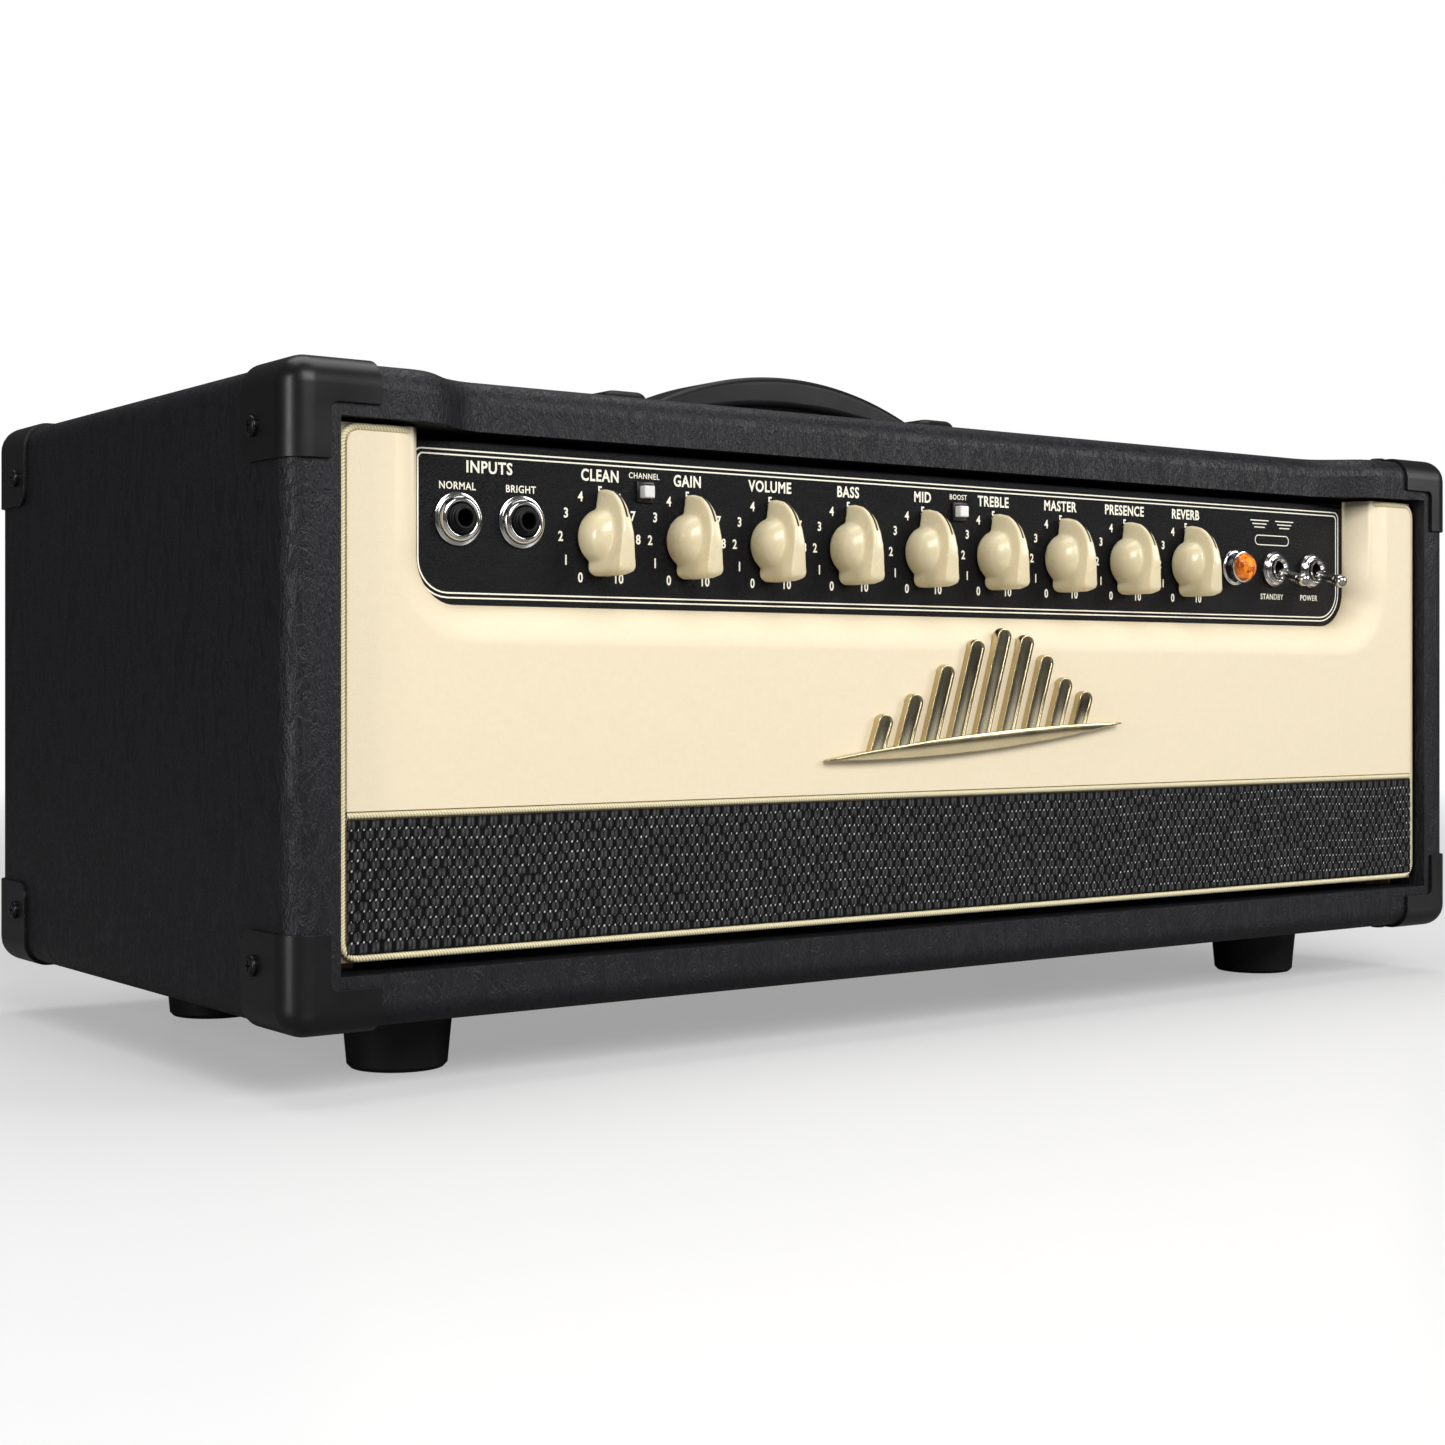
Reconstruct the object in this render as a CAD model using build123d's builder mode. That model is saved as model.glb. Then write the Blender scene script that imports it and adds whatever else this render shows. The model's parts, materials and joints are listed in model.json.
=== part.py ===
from build123d import *
import os
from math import cos, pi, radians, sin

os.makedirs("parts", exist_ok=True)

# ---------------------------------------------------------------- driving dimensions, mm
cabinet_width = 670.0
cabinet_depth = 305.0
cabinet_height = 242.0
board = 20.0                # plywood and its covering
edge_radius = 10.0          # rounding of the outer edges
foot_height = 26.0
foot_diameter = 44.0
foot_inset_x = 78.0         # foot centre from the side
foot_inset_y = 65.0         # foot centre from front and back
fit_gap = 0.3               # between pieces that move past each other
screw_gap = 0.15            # round a screw shank in its hole
running_gap = 0.05          # round a turning shaft

scoop_depth = 19.0          # how far the top board's front edge is set back
scoop_half_width = 243.0    # half length of the set-back stretch
scoop_run = 40.0            # length of each S-shaped end

guard_wall = 1.6
guard_reach_x = 36.0
guard_reach_y = 38.0
guard_reach_z = 36.0
guard_lip = 15.5            # width of the guard's arms on the front and back faces
guard_round = 7.0
guard_screw_in = 23.2       # screw from the outer faces, across
guard_screw_back = 27.0     # screw from the front or back face

panel_setback = 5.0         # front of the cream panel behind the cabinet's front
panel_thickness = 16.5
panel_side_gap = 2.0        # panel to side board
panel_foot_gap = 4.0        # grille to bottom board
panel_head_gap = 1.5        # panel to top board
pipe_diameter = 3.0
pipe_corner = 6.5
divider_height = 57.5       # divider piping above the bottom board
cut_half_width = 275.0      # cut-out round the control panel
cut_drop = 66.5             # cut-out below the top board
cut_corner = 18.0
cut_roll = min(16.0, panel_thickness - 0.5)     # radius of the rolled edge

sheet = 1.5                 # steel sheet
control_half_width = 300.0
control_drop = 70.0         # control panel below the top board
control_lip = 12.0
control_head_gap = 3.5
chassis_side_gap = 2.0
chassis_rear_setback = 12.0
chassis_tab_in = 30.0       # hanging bolts from the chassis's front and back walls
control_axis_drop = 38.2    # knobs, lamp and toggles below the top board
jack_axis_drop = 33.5
button_axis_drop = 19.0

knob_pitch = 43.05
knob_first_x = -189.3
knob_names = ["clean", "gain", "volume", "bass", "mid", "treble", "master", "presence", "reverb"]
knob_hub_radius = 11.6
knob_hub_height = 12.5
knob_tip_reach = 19.0
knob_tail_reach = 15.6
knob_crest = 20.0           # height of the pointer's crest above the knob's back
pointer_half = 6.2          # half width of the pointer's root
knob_back_gap = 0.8
shaft_radius = 3.0
bushing_radius = 4.6
bushing_length = 6.0
pot_radius = 12.0
pot_depth = 10.0

jack_x = [-254.6, -226.2]
jack_bore_radius = 3.25
jack_depth = 30.0
jack_thread_radius = 5.9
jack_nose = 3.6             # barrel in front of its panel
lamp_x = 190.6
toggle_x = {"standby": 219.5, "power": 248.4}
toggle_throw = 16.0         # degrees each side of level
toggle_reach = 21.6
toggle_tip_radius = 3.0
toggle_thread_radius = 5.9
button_size = 5.0
button_travel = 2.5
button_stand = 4.5

handle_span = 218.0
handle_width = 30.0
handle_thickness = 8.0
handle_belly = 15.0          # thickness at the crest, where the hand goes
handle_rise = 34.0          # crest above the top board
handle_cap_length = 24.0
handle_cap_height = 20.0

tank_length = 426.0
tank_depth = 110.0
tank_height = 34.0

# ---------------------------------------------------------------- planes worked out from them
front_y = -cabinet_depth / 2
back_y = cabinet_depth / 2
under_z = foot_height
top_z = foot_height + cabinet_height
floor_z = under_z + board
ceiling_z = top_z - board
wall_x = cabinet_width / 2 - board
panel_front_y = front_y + panel_setback
panel_back_y = panel_front_y + panel_thickness
pipe_radius = pipe_diameter / 2
panel_half = wall_x - panel_side_gap
panel_low_z = floor_z + panel_foot_gap
panel_high_z = ceiling_z - panel_head_gap
divider_z = floor_z + divider_height
control_face_y = panel_back_y
chassis_front_y = control_face_y + sheet
chassis_back_y = back_y - chassis_rear_setback
chassis_half = wall_x - chassis_side_gap
chassis_low_z = ceiling_z - control_drop
control_top_z = ceiling_z - control_head_gap
axis_z = ceiling_z - control_axis_drop
jack_z = ceiling_z - jack_axis_drop
button_z = ceiling_z - button_axis_drop
knob_x = [knob_first_x + knob_pitch * index for index in range(len(knob_names))]
button_x = {"channel": (knob_x[0] + knob_x[1]) / 2, "boost": (knob_x[4] + knob_x[5]) / 2}
rear_jack_x = [-240.0, -200.0, -160.0, -90.0, -50.0, 10.0]
rear_axis_z = ceiling_z - 35.0
inlet_x = 250.0
fuse_x = [150.0, 190.0]


def facing_front(x, y, z):
    """Plane whose normal points out of the front."""
    return Plane(origin=(x, y, z), x_dir=(1, 0, 0), z_dir=(0, -1, 0))


def facing_back(x, y, z):
    """Plane whose normal points out of the back."""
    return Plane(origin=(x, y, z), x_dir=(-1, 0, 0), z_dir=(0, 1, 0))


def facing_up(x, y, z):
    return Plane(origin=(x, y, z), x_dir=(1, 0, 0), z_dir=(0, 0, 1))


def facing_down(x, y, z):
    return Plane(origin=(x, y, z), x_dir=(1, 0, 0), z_dir=(0, 0, -1))


def save(piece, name):
    """Label a finished piece and write it out."""
    piece.part.label = name
    export_step(piece.part, f"parts/{name}.step")


def pan_screw(head_radius, head_height, shank_radius, shank_length):
    """Pan-head screw with a cross recess, head seated on Z = 0 and shank pointing down."""
    with BuildPart() as screw:
        Cylinder(head_radius, head_height, align=(Align.CENTER, Align.CENTER, Align.MIN))
        fillet(screw.edges().sort_by(Axis.Z)[-1], head_height * 0.6)
        with Locations((0, 0, head_height)):
            Box(head_radius, head_radius * 0.2, head_height, mode=Mode.SUBTRACT)
            Box(head_radius * 0.2, head_radius, head_height, mode=Mode.SUBTRACT)
        Cylinder(shank_radius, shank_length, align=(Align.CENTER, Align.CENTER, Align.MAX))
    return screw.part


def ring_nut(outer_radius, hole_radius, height, washer_radius, washer_height):
    """Washer on Z = 0 with a round-shouldered hexagon nut on it."""
    with BuildPart() as nut:
        Cylinder(washer_radius, washer_height, align=(Align.CENTER, Align.CENTER, Align.MIN))
        fillet(nut.edges().sort_by(Axis.Z)[-1], washer_height * 0.45)
        with BuildSketch(Plane.XY.offset(washer_height)):
            RegularPolygon(outer_radius, 6)
        extrude(amount=height)
        chamfer(nut.edges().group_by(Axis.Z)[-1], height * 0.2)
        Cylinder(hole_radius, 4 * (height + washer_height), mode=Mode.SUBTRACT)
    return nut.part


# ---------------------------------------------------------------- cabinet boards
guard_screw_planes = []
for side in (-1, 1):
    for face in (-1, 1):
        screw_y = face * (cabinet_depth / 2 - guard_screw_back)
        outer_x = side * (cabinet_width / 2 + guard_wall)
        for screw_z in (under_z + guard_screw_in, top_z - guard_screw_in):
            out = Plane(origin=(outer_x, screw_y, screw_z), x_dir=(0, 1, 0), z_dir=(side, 0, 0))
            guard_screw_planes.append(out)
        inner_x = side * (cabinet_width / 2 - guard_screw_in)
        guard_screw_planes.append(facing_up(inner_x, screw_y, top_z + guard_wall))
        guard_screw_planes.append(facing_down(inner_x, screw_y, under_z - guard_wall))

guard_screw_shank = 1.8
guard_screw_length = 14.0
foot_places = []
for side in (-1, 1):
    for face in (-1, 1):
        foot_x = side * (cabinet_width / 2 - foot_inset_x)
        foot_places.append((foot_x, face * (cabinet_depth / 2 - foot_inset_y)))
foot_shank = 2.5
foot_shank_length = 22.0
foot_counterbore = 14.0
cap_centre_x = handle_span / 2 - handle_cap_length / 2
handle_bolt_radius = 2.5
handle_bolt_places = [(-cap_centre_x, 0), (cap_centre_x, 0)]
chassis_bolt_places = []
for side in (-1, 1):
    for face in (-1, 1):
        tab_y = chassis_front_y + chassis_tab_in if face < 0 else chassis_back_y - chassis_tab_in
        chassis_bolt_places.append((side * (chassis_half - 18.0), tab_y))
chassis_bolt_radius = 2.5


def cut_guard_screw_holes():
    """Take the guard screws' shank holes out of the piece being built."""
    with Locations(*guard_screw_planes):
        hole_align = (Align.CENTER, Align.CENTER, Align.MAX)
        shank_hole = guard_screw_shank + screw_gap
        Cylinder(shank_hole, guard_screw_length + 1.0, align=hole_align, mode=Mode.SUBTRACT)


with BuildPart() as top_board:
    with BuildSketch(Plane.XY.offset(ceiling_z)):
        RectangleRounded(cabinet_width, cabinet_depth, edge_radius)
        with BuildLine():
            inner_end = scoop_half_width
            outer_end = scoop_half_width + scoop_run
            middle = scoop_half_width + scoop_run / 2
            scoop_y = front_y + scoop_depth
            Line((-inner_end, scoop_y), (inner_end, scoop_y))
            Bezier((inner_end, scoop_y), (middle, scoop_y), (middle, front_y), (outer_end, front_y))
            Line((outer_end, front_y), (outer_end, front_y - board))
            Line((outer_end, front_y - board), (-outer_end, front_y - board))
            Line((-outer_end, front_y - board), (-outer_end, front_y))
            Bezier((-outer_end, front_y), (-middle, front_y), (-middle, scoop_y), (-inner_end, scoop_y))
        make_face(mode=Mode.SUBTRACT)
    extrude(amount=board)
    fillet(top_board.faces().sort_by(Axis.Z)[-1].edges(), edge_radius - 0.5)
    with Locations(*[(x, y, top_z) for x, y in handle_bolt_places]):
        Cylinder(handle_bolt_radius + screw_gap, 3 * board, mode=Mode.SUBTRACT)
    with Locations(*[(x, y, top_z) for x, y in chassis_bolt_places]):
        Cylinder(chassis_bolt_radius + screw_gap, 3 * board, mode=Mode.SUBTRACT)
    cut_guard_screw_holes()
save(top_board, "top_board")

with BuildPart() as bottom_board:
    with BuildSketch(Plane.XY.offset(under_z)):
        RectangleRounded(cabinet_width, cabinet_depth, edge_radius)
    extrude(amount=board)
    fillet(bottom_board.faces().sort_by(Axis.Z)[0].edges(), edge_radius - 0.5)
    with Locations(*[(x, y, under_z) for x, y in foot_places]):
        Cylinder(foot_shank + screw_gap, 2 * (foot_shank_length - foot_height + foot_counterbore + 1),
                 mode=Mode.SUBTRACT)
    cut_guard_screw_holes()
save(bottom_board, "bottom_board")

for side, side_name in ((-1, "left_side"), (1, "right_side")):
    with BuildPart() as side_board:
        with BuildSketch(Plane.XY.offset(floor_z)) as side_plan:
            with Locations((side * (cabinet_width - board) / 2, 0)):
                Rectangle(board, cabinet_depth)
            outer = side_plan.vertices().group_by(Axis.X)[-1 if side > 0 else 0]
            fillet(outer, edge_radius)
        extrude(amount=ceiling_z - floor_z)
        cut_guard_screw_holes()
    save(side_board, side_name)

# ---------------------------------------------------------------- corner guards
with BuildPart() as cabinet_core:
    with BuildSketch(Plane.XY.offset(under_z)):
        RectangleRounded(cabinet_width, cabinet_depth, edge_radius)
    extrude(amount=cabinet_height)
    fillet(cabinet_core.faces().sort_by(Axis.Z)[-1].edges(), edge_radius - 0.5)
    fillet(cabinet_core.faces().sort_by(Axis.Z)[0].edges(), edge_radius - 0.5)

with BuildPart() as guard_core:
    with BuildSketch(Plane.XY.offset(under_z - guard_wall)):
        grown = 2 * guard_wall
        RectangleRounded(cabinet_width + grown, cabinet_depth + grown, edge_radius + guard_wall)
    extrude(amount=cabinet_height + 2 * guard_wall)
    fillet(guard_core.faces().sort_by(Axis.Z)[-1].edges(), edge_radius + guard_wall - 0.5)
    fillet(guard_core.faces().sort_by(Axis.Z)[0].edges(), edge_radius + guard_wall - 0.5)

with BuildPart() as corner_block:
    with Locations((-cabinet_width / 2 - board, front_y - board, top_z + board)):
        Box(guard_reach_x + board, guard_reach_y + board, guard_reach_z + board,
            align=(Align.MIN, Align.MIN, Align.MAX))
    inner_edges = corner_block.edges().filter_by(Axis.Z).group_by(Axis.X)[-1].sort_by(Axis.Y)[-1]
    side_edges = corner_block.edges().filter_by(Axis.X).group_by(Axis.Y)[-1].sort_by(Axis.Z)[0]
    fillet([inner_edges, side_edges], guard_round)

with BuildPart() as one_guard:
    add(guard_core.part)
    add(corner_block.part, mode=Mode.INTERSECT)
    add(cabinet_core.part, mode=Mode.SUBTRACT)
    with BuildSketch(Plane.XZ.offset(-front_y + 2 * guard_wall)) as lip_cut:
        with Locations((-cabinet_width / 2 + guard_lip, top_z - guard_lip)):
            Rectangle(2 * guard_reach_x, 2 * guard_reach_z, align=(Align.MIN, Align.MAX))
        fillet(lip_cut.vertices().group_by(Axis.Y)[-1].sort_by(Axis.X)[0], 3.0)
    extrude(amount=-3 * guard_wall - edge_radius, mode=Mode.SUBTRACT)

middle_plane = Plane.XY.offset((under_z + top_z) / 2)
with BuildPart() as front_corner_guards:
    add(one_guard.part)
    mirror(about=Plane.YZ)
    mirror(about=middle_plane)
    cut_guard_screw_holes()
save(front_corner_guards, "front_corner_guards")

with BuildPart() as rear_corner_guards:
    add(one_guard.part.mirror(Plane.XZ))
    mirror(about=Plane.YZ)
    mirror(about=middle_plane)
    cut_guard_screw_holes()
save(rear_corner_guards, "rear_corner_guards")

guard_screw = pan_screw(4.0, 2.2, guard_screw_shank, guard_screw_length)
with BuildPart() as guard_screws:
    with Locations(*guard_screw_planes):
        add(guard_screw)
save(guard_screws, "guard_screws")

# ---------------------------------------------------------------- feet
foot_hole = foot_shank + screw_gap
with BuildPart() as one_foot:
    with BuildSketch(Plane.XZ):
        with BuildLine():
            Polyline((0, 0), (foot_diameter / 2 - 3.5, 0), (foot_diameter / 2 - 2, 1.5),
                     (foot_diameter / 2, foot_height - 4), (foot_diameter / 2, foot_height),
                     (0, foot_height), close=True)
        make_face()
    revolve(axis=Axis.Z)
    with Locations((0, 0, 0)):
        Cylinder(9.0, foot_counterbore, align=(Align.CENTER, Align.CENTER, Align.MIN), mode=Mode.SUBTRACT)
        Cylinder(foot_hole, 3 * foot_height, mode=Mode.SUBTRACT)

with BuildPart() as rubber_feet:
    with Locations(*[(x, y, 0) for x, y in foot_places]):
        add(one_foot.part)
save(rubber_feet, "rubber_feet")

foot_screw = pan_screw(7.0, 3.5, foot_shank, foot_shank_length)
with BuildPart() as foot_screws:
    with Locations(*[facing_down(x, y, foot_counterbore) for x, y in foot_places]):
        add(foot_screw)
save(foot_screws, "foot_screws")

# ---------------------------------------------------------------- handle
strap_end_x = handle_span / 2 - 4.0
cap_mouth_x = handle_span / 2 - handle_cap_length
strap_low_z = top_z + 5.0
crest_z = top_z + handle_rise
tongue_width = handle_width - 8.0
bolt_head_radius = 5.0
bolt_head_height = 2.6
bolt_seat_z = top_z + handle_cap_height - bolt_head_height - 0.4     # heads sunk in the caps

with BuildPart() as handle_strap:
    with BuildSketch(Plane.XZ.offset(handle_width / 2)):
        with BuildLine():
            lower = strap_low_z + 1.0
            upper = lower + handle_thickness
            ThreePointArc((-cap_mouth_x, upper), (0, crest_z), (cap_mouth_x, upper))
            Line((cap_mouth_x, upper), (cap_mouth_x, lower))
            ThreePointArc((cap_mouth_x, lower), (0, crest_z - handle_belly), (-cap_mouth_x, lower))
            Line((-cap_mouth_x, lower), (-cap_mouth_x, upper))
        make_face()
    extrude(amount=-handle_width)
    long_edges = handle_strap.edges().filter_by(GeomType.CIRCLE)
    fillet(long_edges, 3.4)
    for side in (-1, 1):
        with Locations((side * (cap_mouth_x - 1.5), 0, lower + 1.0)):
            Box(strap_end_x - cap_mouth_x + 1.5, tongue_width, 5.0,
                align=(Align.MIN if side > 0 else Align.MAX, Align.CENTER, Align.MIN))
    with Locations(*[(x, y, top_z) for x, y in handle_bolt_places]):
        Cylinder(handle_bolt_radius + screw_gap, 2 * board, mode=Mode.SUBTRACT)
save(handle_strap, "handle_strap")

with BuildPart() as handle_end_caps:
    for side in (-1, 1):
        with Locations((side * cap_centre_x, 0, top_z)):
            Box(handle_cap_length, handle_width + 6.0, handle_cap_height,
                align=(Align.CENTER, Align.CENTER, Align.MIN))
    fillet(handle_end_caps.edges().filter_by(Axis.Z), 6.0)
    fillet(handle_end_caps.faces().filter_by(Axis.Z).group_by(Axis.Z)[-1].edges(), 5.0)
    for side in (-1, 1):
        with Locations((side * (cap_mouth_x - 1.0), 0, strap_low_z + 2.0 - fit_gap)):
            Box(strap_end_x - cap_mouth_x + 1.0 + fit_gap, tongue_width + 2 * fit_gap, 5.0 + 2 * fit_gap,
                align=(Align.MIN if side > 0 else Align.MAX, Align.CENTER, Align.MIN), mode=Mode.SUBTRACT)
    with Locations(*[(x, y, top_z) for x, y in handle_bolt_places]):
        Cylinder(handle_bolt_radius + screw_gap, 3 * handle_cap_height, mode=Mode.SUBTRACT)
    with Locations(*[(x, y, bolt_seat_z) for x, y in handle_bolt_places]):
        Cylinder(bolt_head_radius + screw_gap, handle_cap_height, align=(Align.CENTER, Align.CENTER, Align.MIN),
                 mode=Mode.SUBTRACT)
save(handle_end_caps, "handle_end_caps")

handle_bolt = pan_screw(bolt_head_radius, bolt_head_height, handle_bolt_radius, bolt_seat_z - top_z + board + 3.0)
with BuildPart() as handle_bolts:
    with Locations(*[facing_up(x, y, bolt_seat_z) for x, y in handle_bolt_places]):
        add(handle_bolt)
    with Locations(*[facing_down(x, y, ceiling_z) for x, y in handle_bolt_places]):
        Cylinder(4.5, 3.0, align=(Align.CENTER, Align.CENTER, Align.MIN))
save(handle_bolts, "handle_bolts")

# ---------------------------------------------------------------- cream front panel and piping
skin_depth = pipe_diameter          # depth of the rebate that the piping lies in
parting = 0.25                      # half the gap between cream panel and grille board
cut_low_z = ceiling_z - cut_drop

with BuildPart() as roll_cutter:
    with BuildSketch(Plane.XZ.offset(-panel_back_y - 1.0)) as cut_outline:
        with Locations((0, cut_low_z)):
            Rectangle(2 * cut_half_width, cut_drop + board, align=(Align.CENTER, Align.MIN))
        fillet(cut_outline.vertices().group_by(Axis.Y)[0], cut_corner)
    extrude(amount=panel_thickness + 1.0 + board)
    flare = cut_roll + 4.0
    with BuildSketch(Plane.XZ.offset(-panel_front_y)) as flare_outline:
        with Locations((0, cut_low_z - flare)):
            Rectangle(2 * (cut_half_width + flare), cut_drop + board + flare,
                      align=(Align.CENTER, Align.MIN))
        fillet(flare_outline.vertices().group_by(Axis.Y)[0], cut_corner + flare)
    extrude(amount=board)
    meeting = roll_cutter.edges().filter_by_position(Axis.Y, panel_front_y - 0.01, panel_front_y + 0.01)
    inner_meeting = [edge for edge in meeting
                     if abs(edge.center().X) < cut_half_width + 1 and edge.center().Z > cut_low_z - 1
                     and edge.center().Z < top_z - 1]
    fillet(inner_meeting, cut_roll)

with BuildPart() as front_panel:
    with BuildSketch(Plane.XZ.offset(-panel_back_y)):
        with Locations((0, divider_z + parting)):
            Rectangle(2 * panel_half, panel_high_z - divider_z - parting, align=(Align.CENTER, Align.MIN))
    extrude(amount=panel_thickness - skin_depth)
    skin_low_z = divider_z + pipe_radius
    with BuildSketch(Plane.XZ.offset(-panel_front_y - skin_depth)) as skin_outline:
        with Locations((0, skin_low_z)):
            Rectangle(2 * (panel_half - pipe_diameter), panel_high_z - pipe_diameter - skin_low_z,
                      align=(Align.CENTER, Align.MIN))
        fillet(skin_outline.vertices().group_by(Axis.Y)[-1], pipe_corner - pipe_radius)
    extrude(amount=skin_depth)
    add(roll_cutter.part, mode=Mode.SUBTRACT)
save(front_panel, "front_panel")

pipe_y = panel_front_y + pipe_radius
pipe_x = panel_half - pipe_radius
pipe_low_z = panel_low_z + pipe_radius
pipe_high_z = panel_high_z - pipe_radius
pipe_end_x = cut_half_width + cut_roll + 1.0

with BuildPart() as outer_piping:
    with BuildLine() as pipe_path:
        FilletPolyline(
            (-pipe_end_x, pipe_y, pipe_high_z),
            (-pipe_x, pipe_y, pipe_high_z),
            (-pipe_x, pipe_y, pipe_low_z),
            (pipe_x, pipe_y, pipe_low_z),
            (pipe_x, pipe_y, pipe_high_z),
            (pipe_end_x, pipe_y, pipe_high_z),
            radius=pipe_corner,
        )
    with BuildSketch(Plane(origin=(-pipe_end_x, pipe_y, pipe_high_z), z_dir=(-1, 0, 0))):
        Circle(pipe_radius)
    sweep(path=pipe_path.wires()[0])
save(outer_piping, "outer_piping")

with BuildPart() as divider_piping:
    with BuildSketch(Plane.YZ.offset(-panel_half + pipe_diameter + 0.2)):
        with Locations((pipe_y, divider_z)):
            Circle(pipe_radius)
    extrude(amount=2 * (panel_half - pipe_diameter - 0.2))
save(divider_piping, "divider_piping")

# ---------------------------------------------------------------- grille
cloth = 1.0
slot_count = 9
slot_width = 50.0
slot_height = 26.0

with BuildPart() as grille_board:
    with BuildSketch(Plane.XZ.offset(-panel_back_y)):
        with Locations((0, panel_low_z)):
            Rectangle(2 * panel_half, divider_z - parting - panel_low_z, align=(Align.CENTER, Align.MIN))
    extrude(amount=panel_thickness - skin_depth)
    with BuildSketch(Plane.XZ.offset(-panel_front_y - skin_depth)) as board_outline:
        with Locations((0, panel_low_z + pipe_diameter)):
            Rectangle(2 * (panel_half - pipe_diameter), divider_z - pipe_radius - panel_low_z - pipe_diameter,
                      align=(Align.CENTER, Align.MIN))
        fillet(board_outline.vertices().group_by(Axis.Y)[0], pipe_corner - pipe_radius)
    extrude(amount=skin_depth - cloth)
    slot_z = (panel_low_z + divider_z) / 2
    with BuildSketch(Plane.XZ.offset(-panel_back_y)):
        with Locations((0, slot_z)):
            with GridLocations(2 * panel_half / (slot_count + 0.5), 1, slot_count, 1):
                SlotOverall(slot_width, slot_height)
    extrude(amount=panel_thickness, mode=Mode.SUBTRACT)
save(grille_board, "grille_board")

with BuildPart() as grille_cloth:
    with BuildSketch(Plane.XZ.offset(-panel_front_y - cloth)) as cloth_outline:
        with Locations((0, panel_low_z + pipe_diameter)):
            Rectangle(2 * (panel_half - pipe_diameter), divider_z - pipe_radius - panel_low_z - pipe_diameter,
                      align=(Align.CENTER, Align.MIN))
        fillet(cloth_outline.vertices().group_by(Axis.Y)[0], pipe_corner - pipe_radius)
    extrude(amount=cloth)
save(grille_cloth, "grille_cloth")

# ---------------------------------------------------------------- badge: slanted bars on a swept base
badge_z = divider_z + 36.0
badge_base_half = 88.0
badge_bars = 9
badge_bar_width = 8.0
badge_slant = 14.0
badge_thickness = 3.6

with BuildPart() as front_badge:
    with BuildSketch(Plane.XZ.offset(-panel_front_y)):
        with BuildLine():
            ThreePointArc((-badge_base_half, badge_z - 20), (0, badge_z - 10), (badge_base_half, badge_z - 6))
            ThreePointArc((badge_base_half, badge_z - 6), (0, badge_z - 17), (-badge_base_half, badge_z - 20))
        make_face()
        for bar in range(badge_bars):
            share = (bar + 0.5) / badge_bars
            bar_height = 16.0 + 34.0 * sin(pi * share) ** 2
            bar_x = (share - 0.5) * 1.55 * badge_base_half
            along = bar_x / badge_base_half
            foot_of_bar = badge_z - 13.5 + 7.0 * along + 0.5 * along ** 2
            lean = badge_slant * bar_height / 50.0
            half = badge_bar_width / 2
            with BuildLine():
                Polyline((bar_x - half, foot_of_bar), (bar_x + half, foot_of_bar),
                         (bar_x + half + lean, foot_of_bar + bar_height),
                         (bar_x - half + lean, foot_of_bar + bar_height), close=True)
            make_face()
    extrude(amount=badge_thickness)
save(front_badge, "front_badge")

# ---------------------------------------------------------------- battens
batten = 16.0
batten_high_z = chassis_low_z - 2.0
rear_plate_y = back_y - chassis_rear_setback

with BuildPart() as battens:
    for side in (-1, 1):
        x_align = Align.MAX if side > 0 else Align.MIN
        with Locations((side * wall_x, panel_back_y, floor_z)):
            Box(batten, batten, batten_high_z - floor_z, align=(x_align, Align.MIN, Align.MIN))
        with Locations((side * wall_x, rear_plate_y, floor_z)):
            Box(batten, batten, batten_high_z - floor_z, align=(x_align, Align.MAX, Align.MIN))
save(battens, "battens")

# ---------------------------------------------------------------- control panel and chassis
jack_hole = jack_thread_radius + screw_gap
pot_hole = bushing_radius + screw_gap
toggle_hole = toggle_thread_radius + screw_gap
lamp_neck_radius = 6.4
lamp_hole = lamp_neck_radius + screw_gap
button_hole = button_size + 3.0


with BuildPart() as control_holes:
    with BuildSketch(Plane.XZ.offset(-chassis_front_y - 2 * sheet)):
        with Locations(*[(x, axis_z) for x in knob_x]):
            Circle(pot_hole)
        with Locations(*[(x, jack_z) for x in jack_x]):
            Circle(jack_hole)
        with Locations((lamp_x, axis_z)):
            Circle(lamp_hole)
        with Locations(*[(x, axis_z) for x in toggle_x.values()]):
            Circle(toggle_hole)
        with Locations(*[(x, button_z) for x in button_x.values()]):
            Rectangle(button_hole, button_hole)
    extrude(amount=5 * sheet)


with BuildPart() as control_panel:
    with BuildSketch(Plane.YZ.offset(-control_half_width)) as control_profile:
        with BuildLine():
            Polyline((control_face_y, chassis_low_z), (control_face_y, control_top_z),
                     (control_face_y + control_lip, control_top_z),
                     (control_face_y + control_lip, control_top_z - sheet),
                     (chassis_front_y, control_top_z - sheet), (chassis_front_y, chassis_low_z), close=True)
        make_face()
        fillet(control_profile.vertices().group_by(Axis.X)[0].sort_by(Axis.Y)[-1], 2.2)
    extrude(amount=2 * control_half_width)
    add(control_holes.part, mode=Mode.SUBTRACT)
save(control_panel, "control_panel")

tube_x = {"power": [-70.0, 0.0], "preamp": [-275.0, -235.0, -195.0, -155.0, 55.0]}
tube_y = {"power": 62.0, "preamp": 62.0}
power_glass_radius = 22.0
preamp_glass_radius = 11.0
power_socket_radius = 19.0
preamp_socket_radius = 11.5
tab = 24.0

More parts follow.
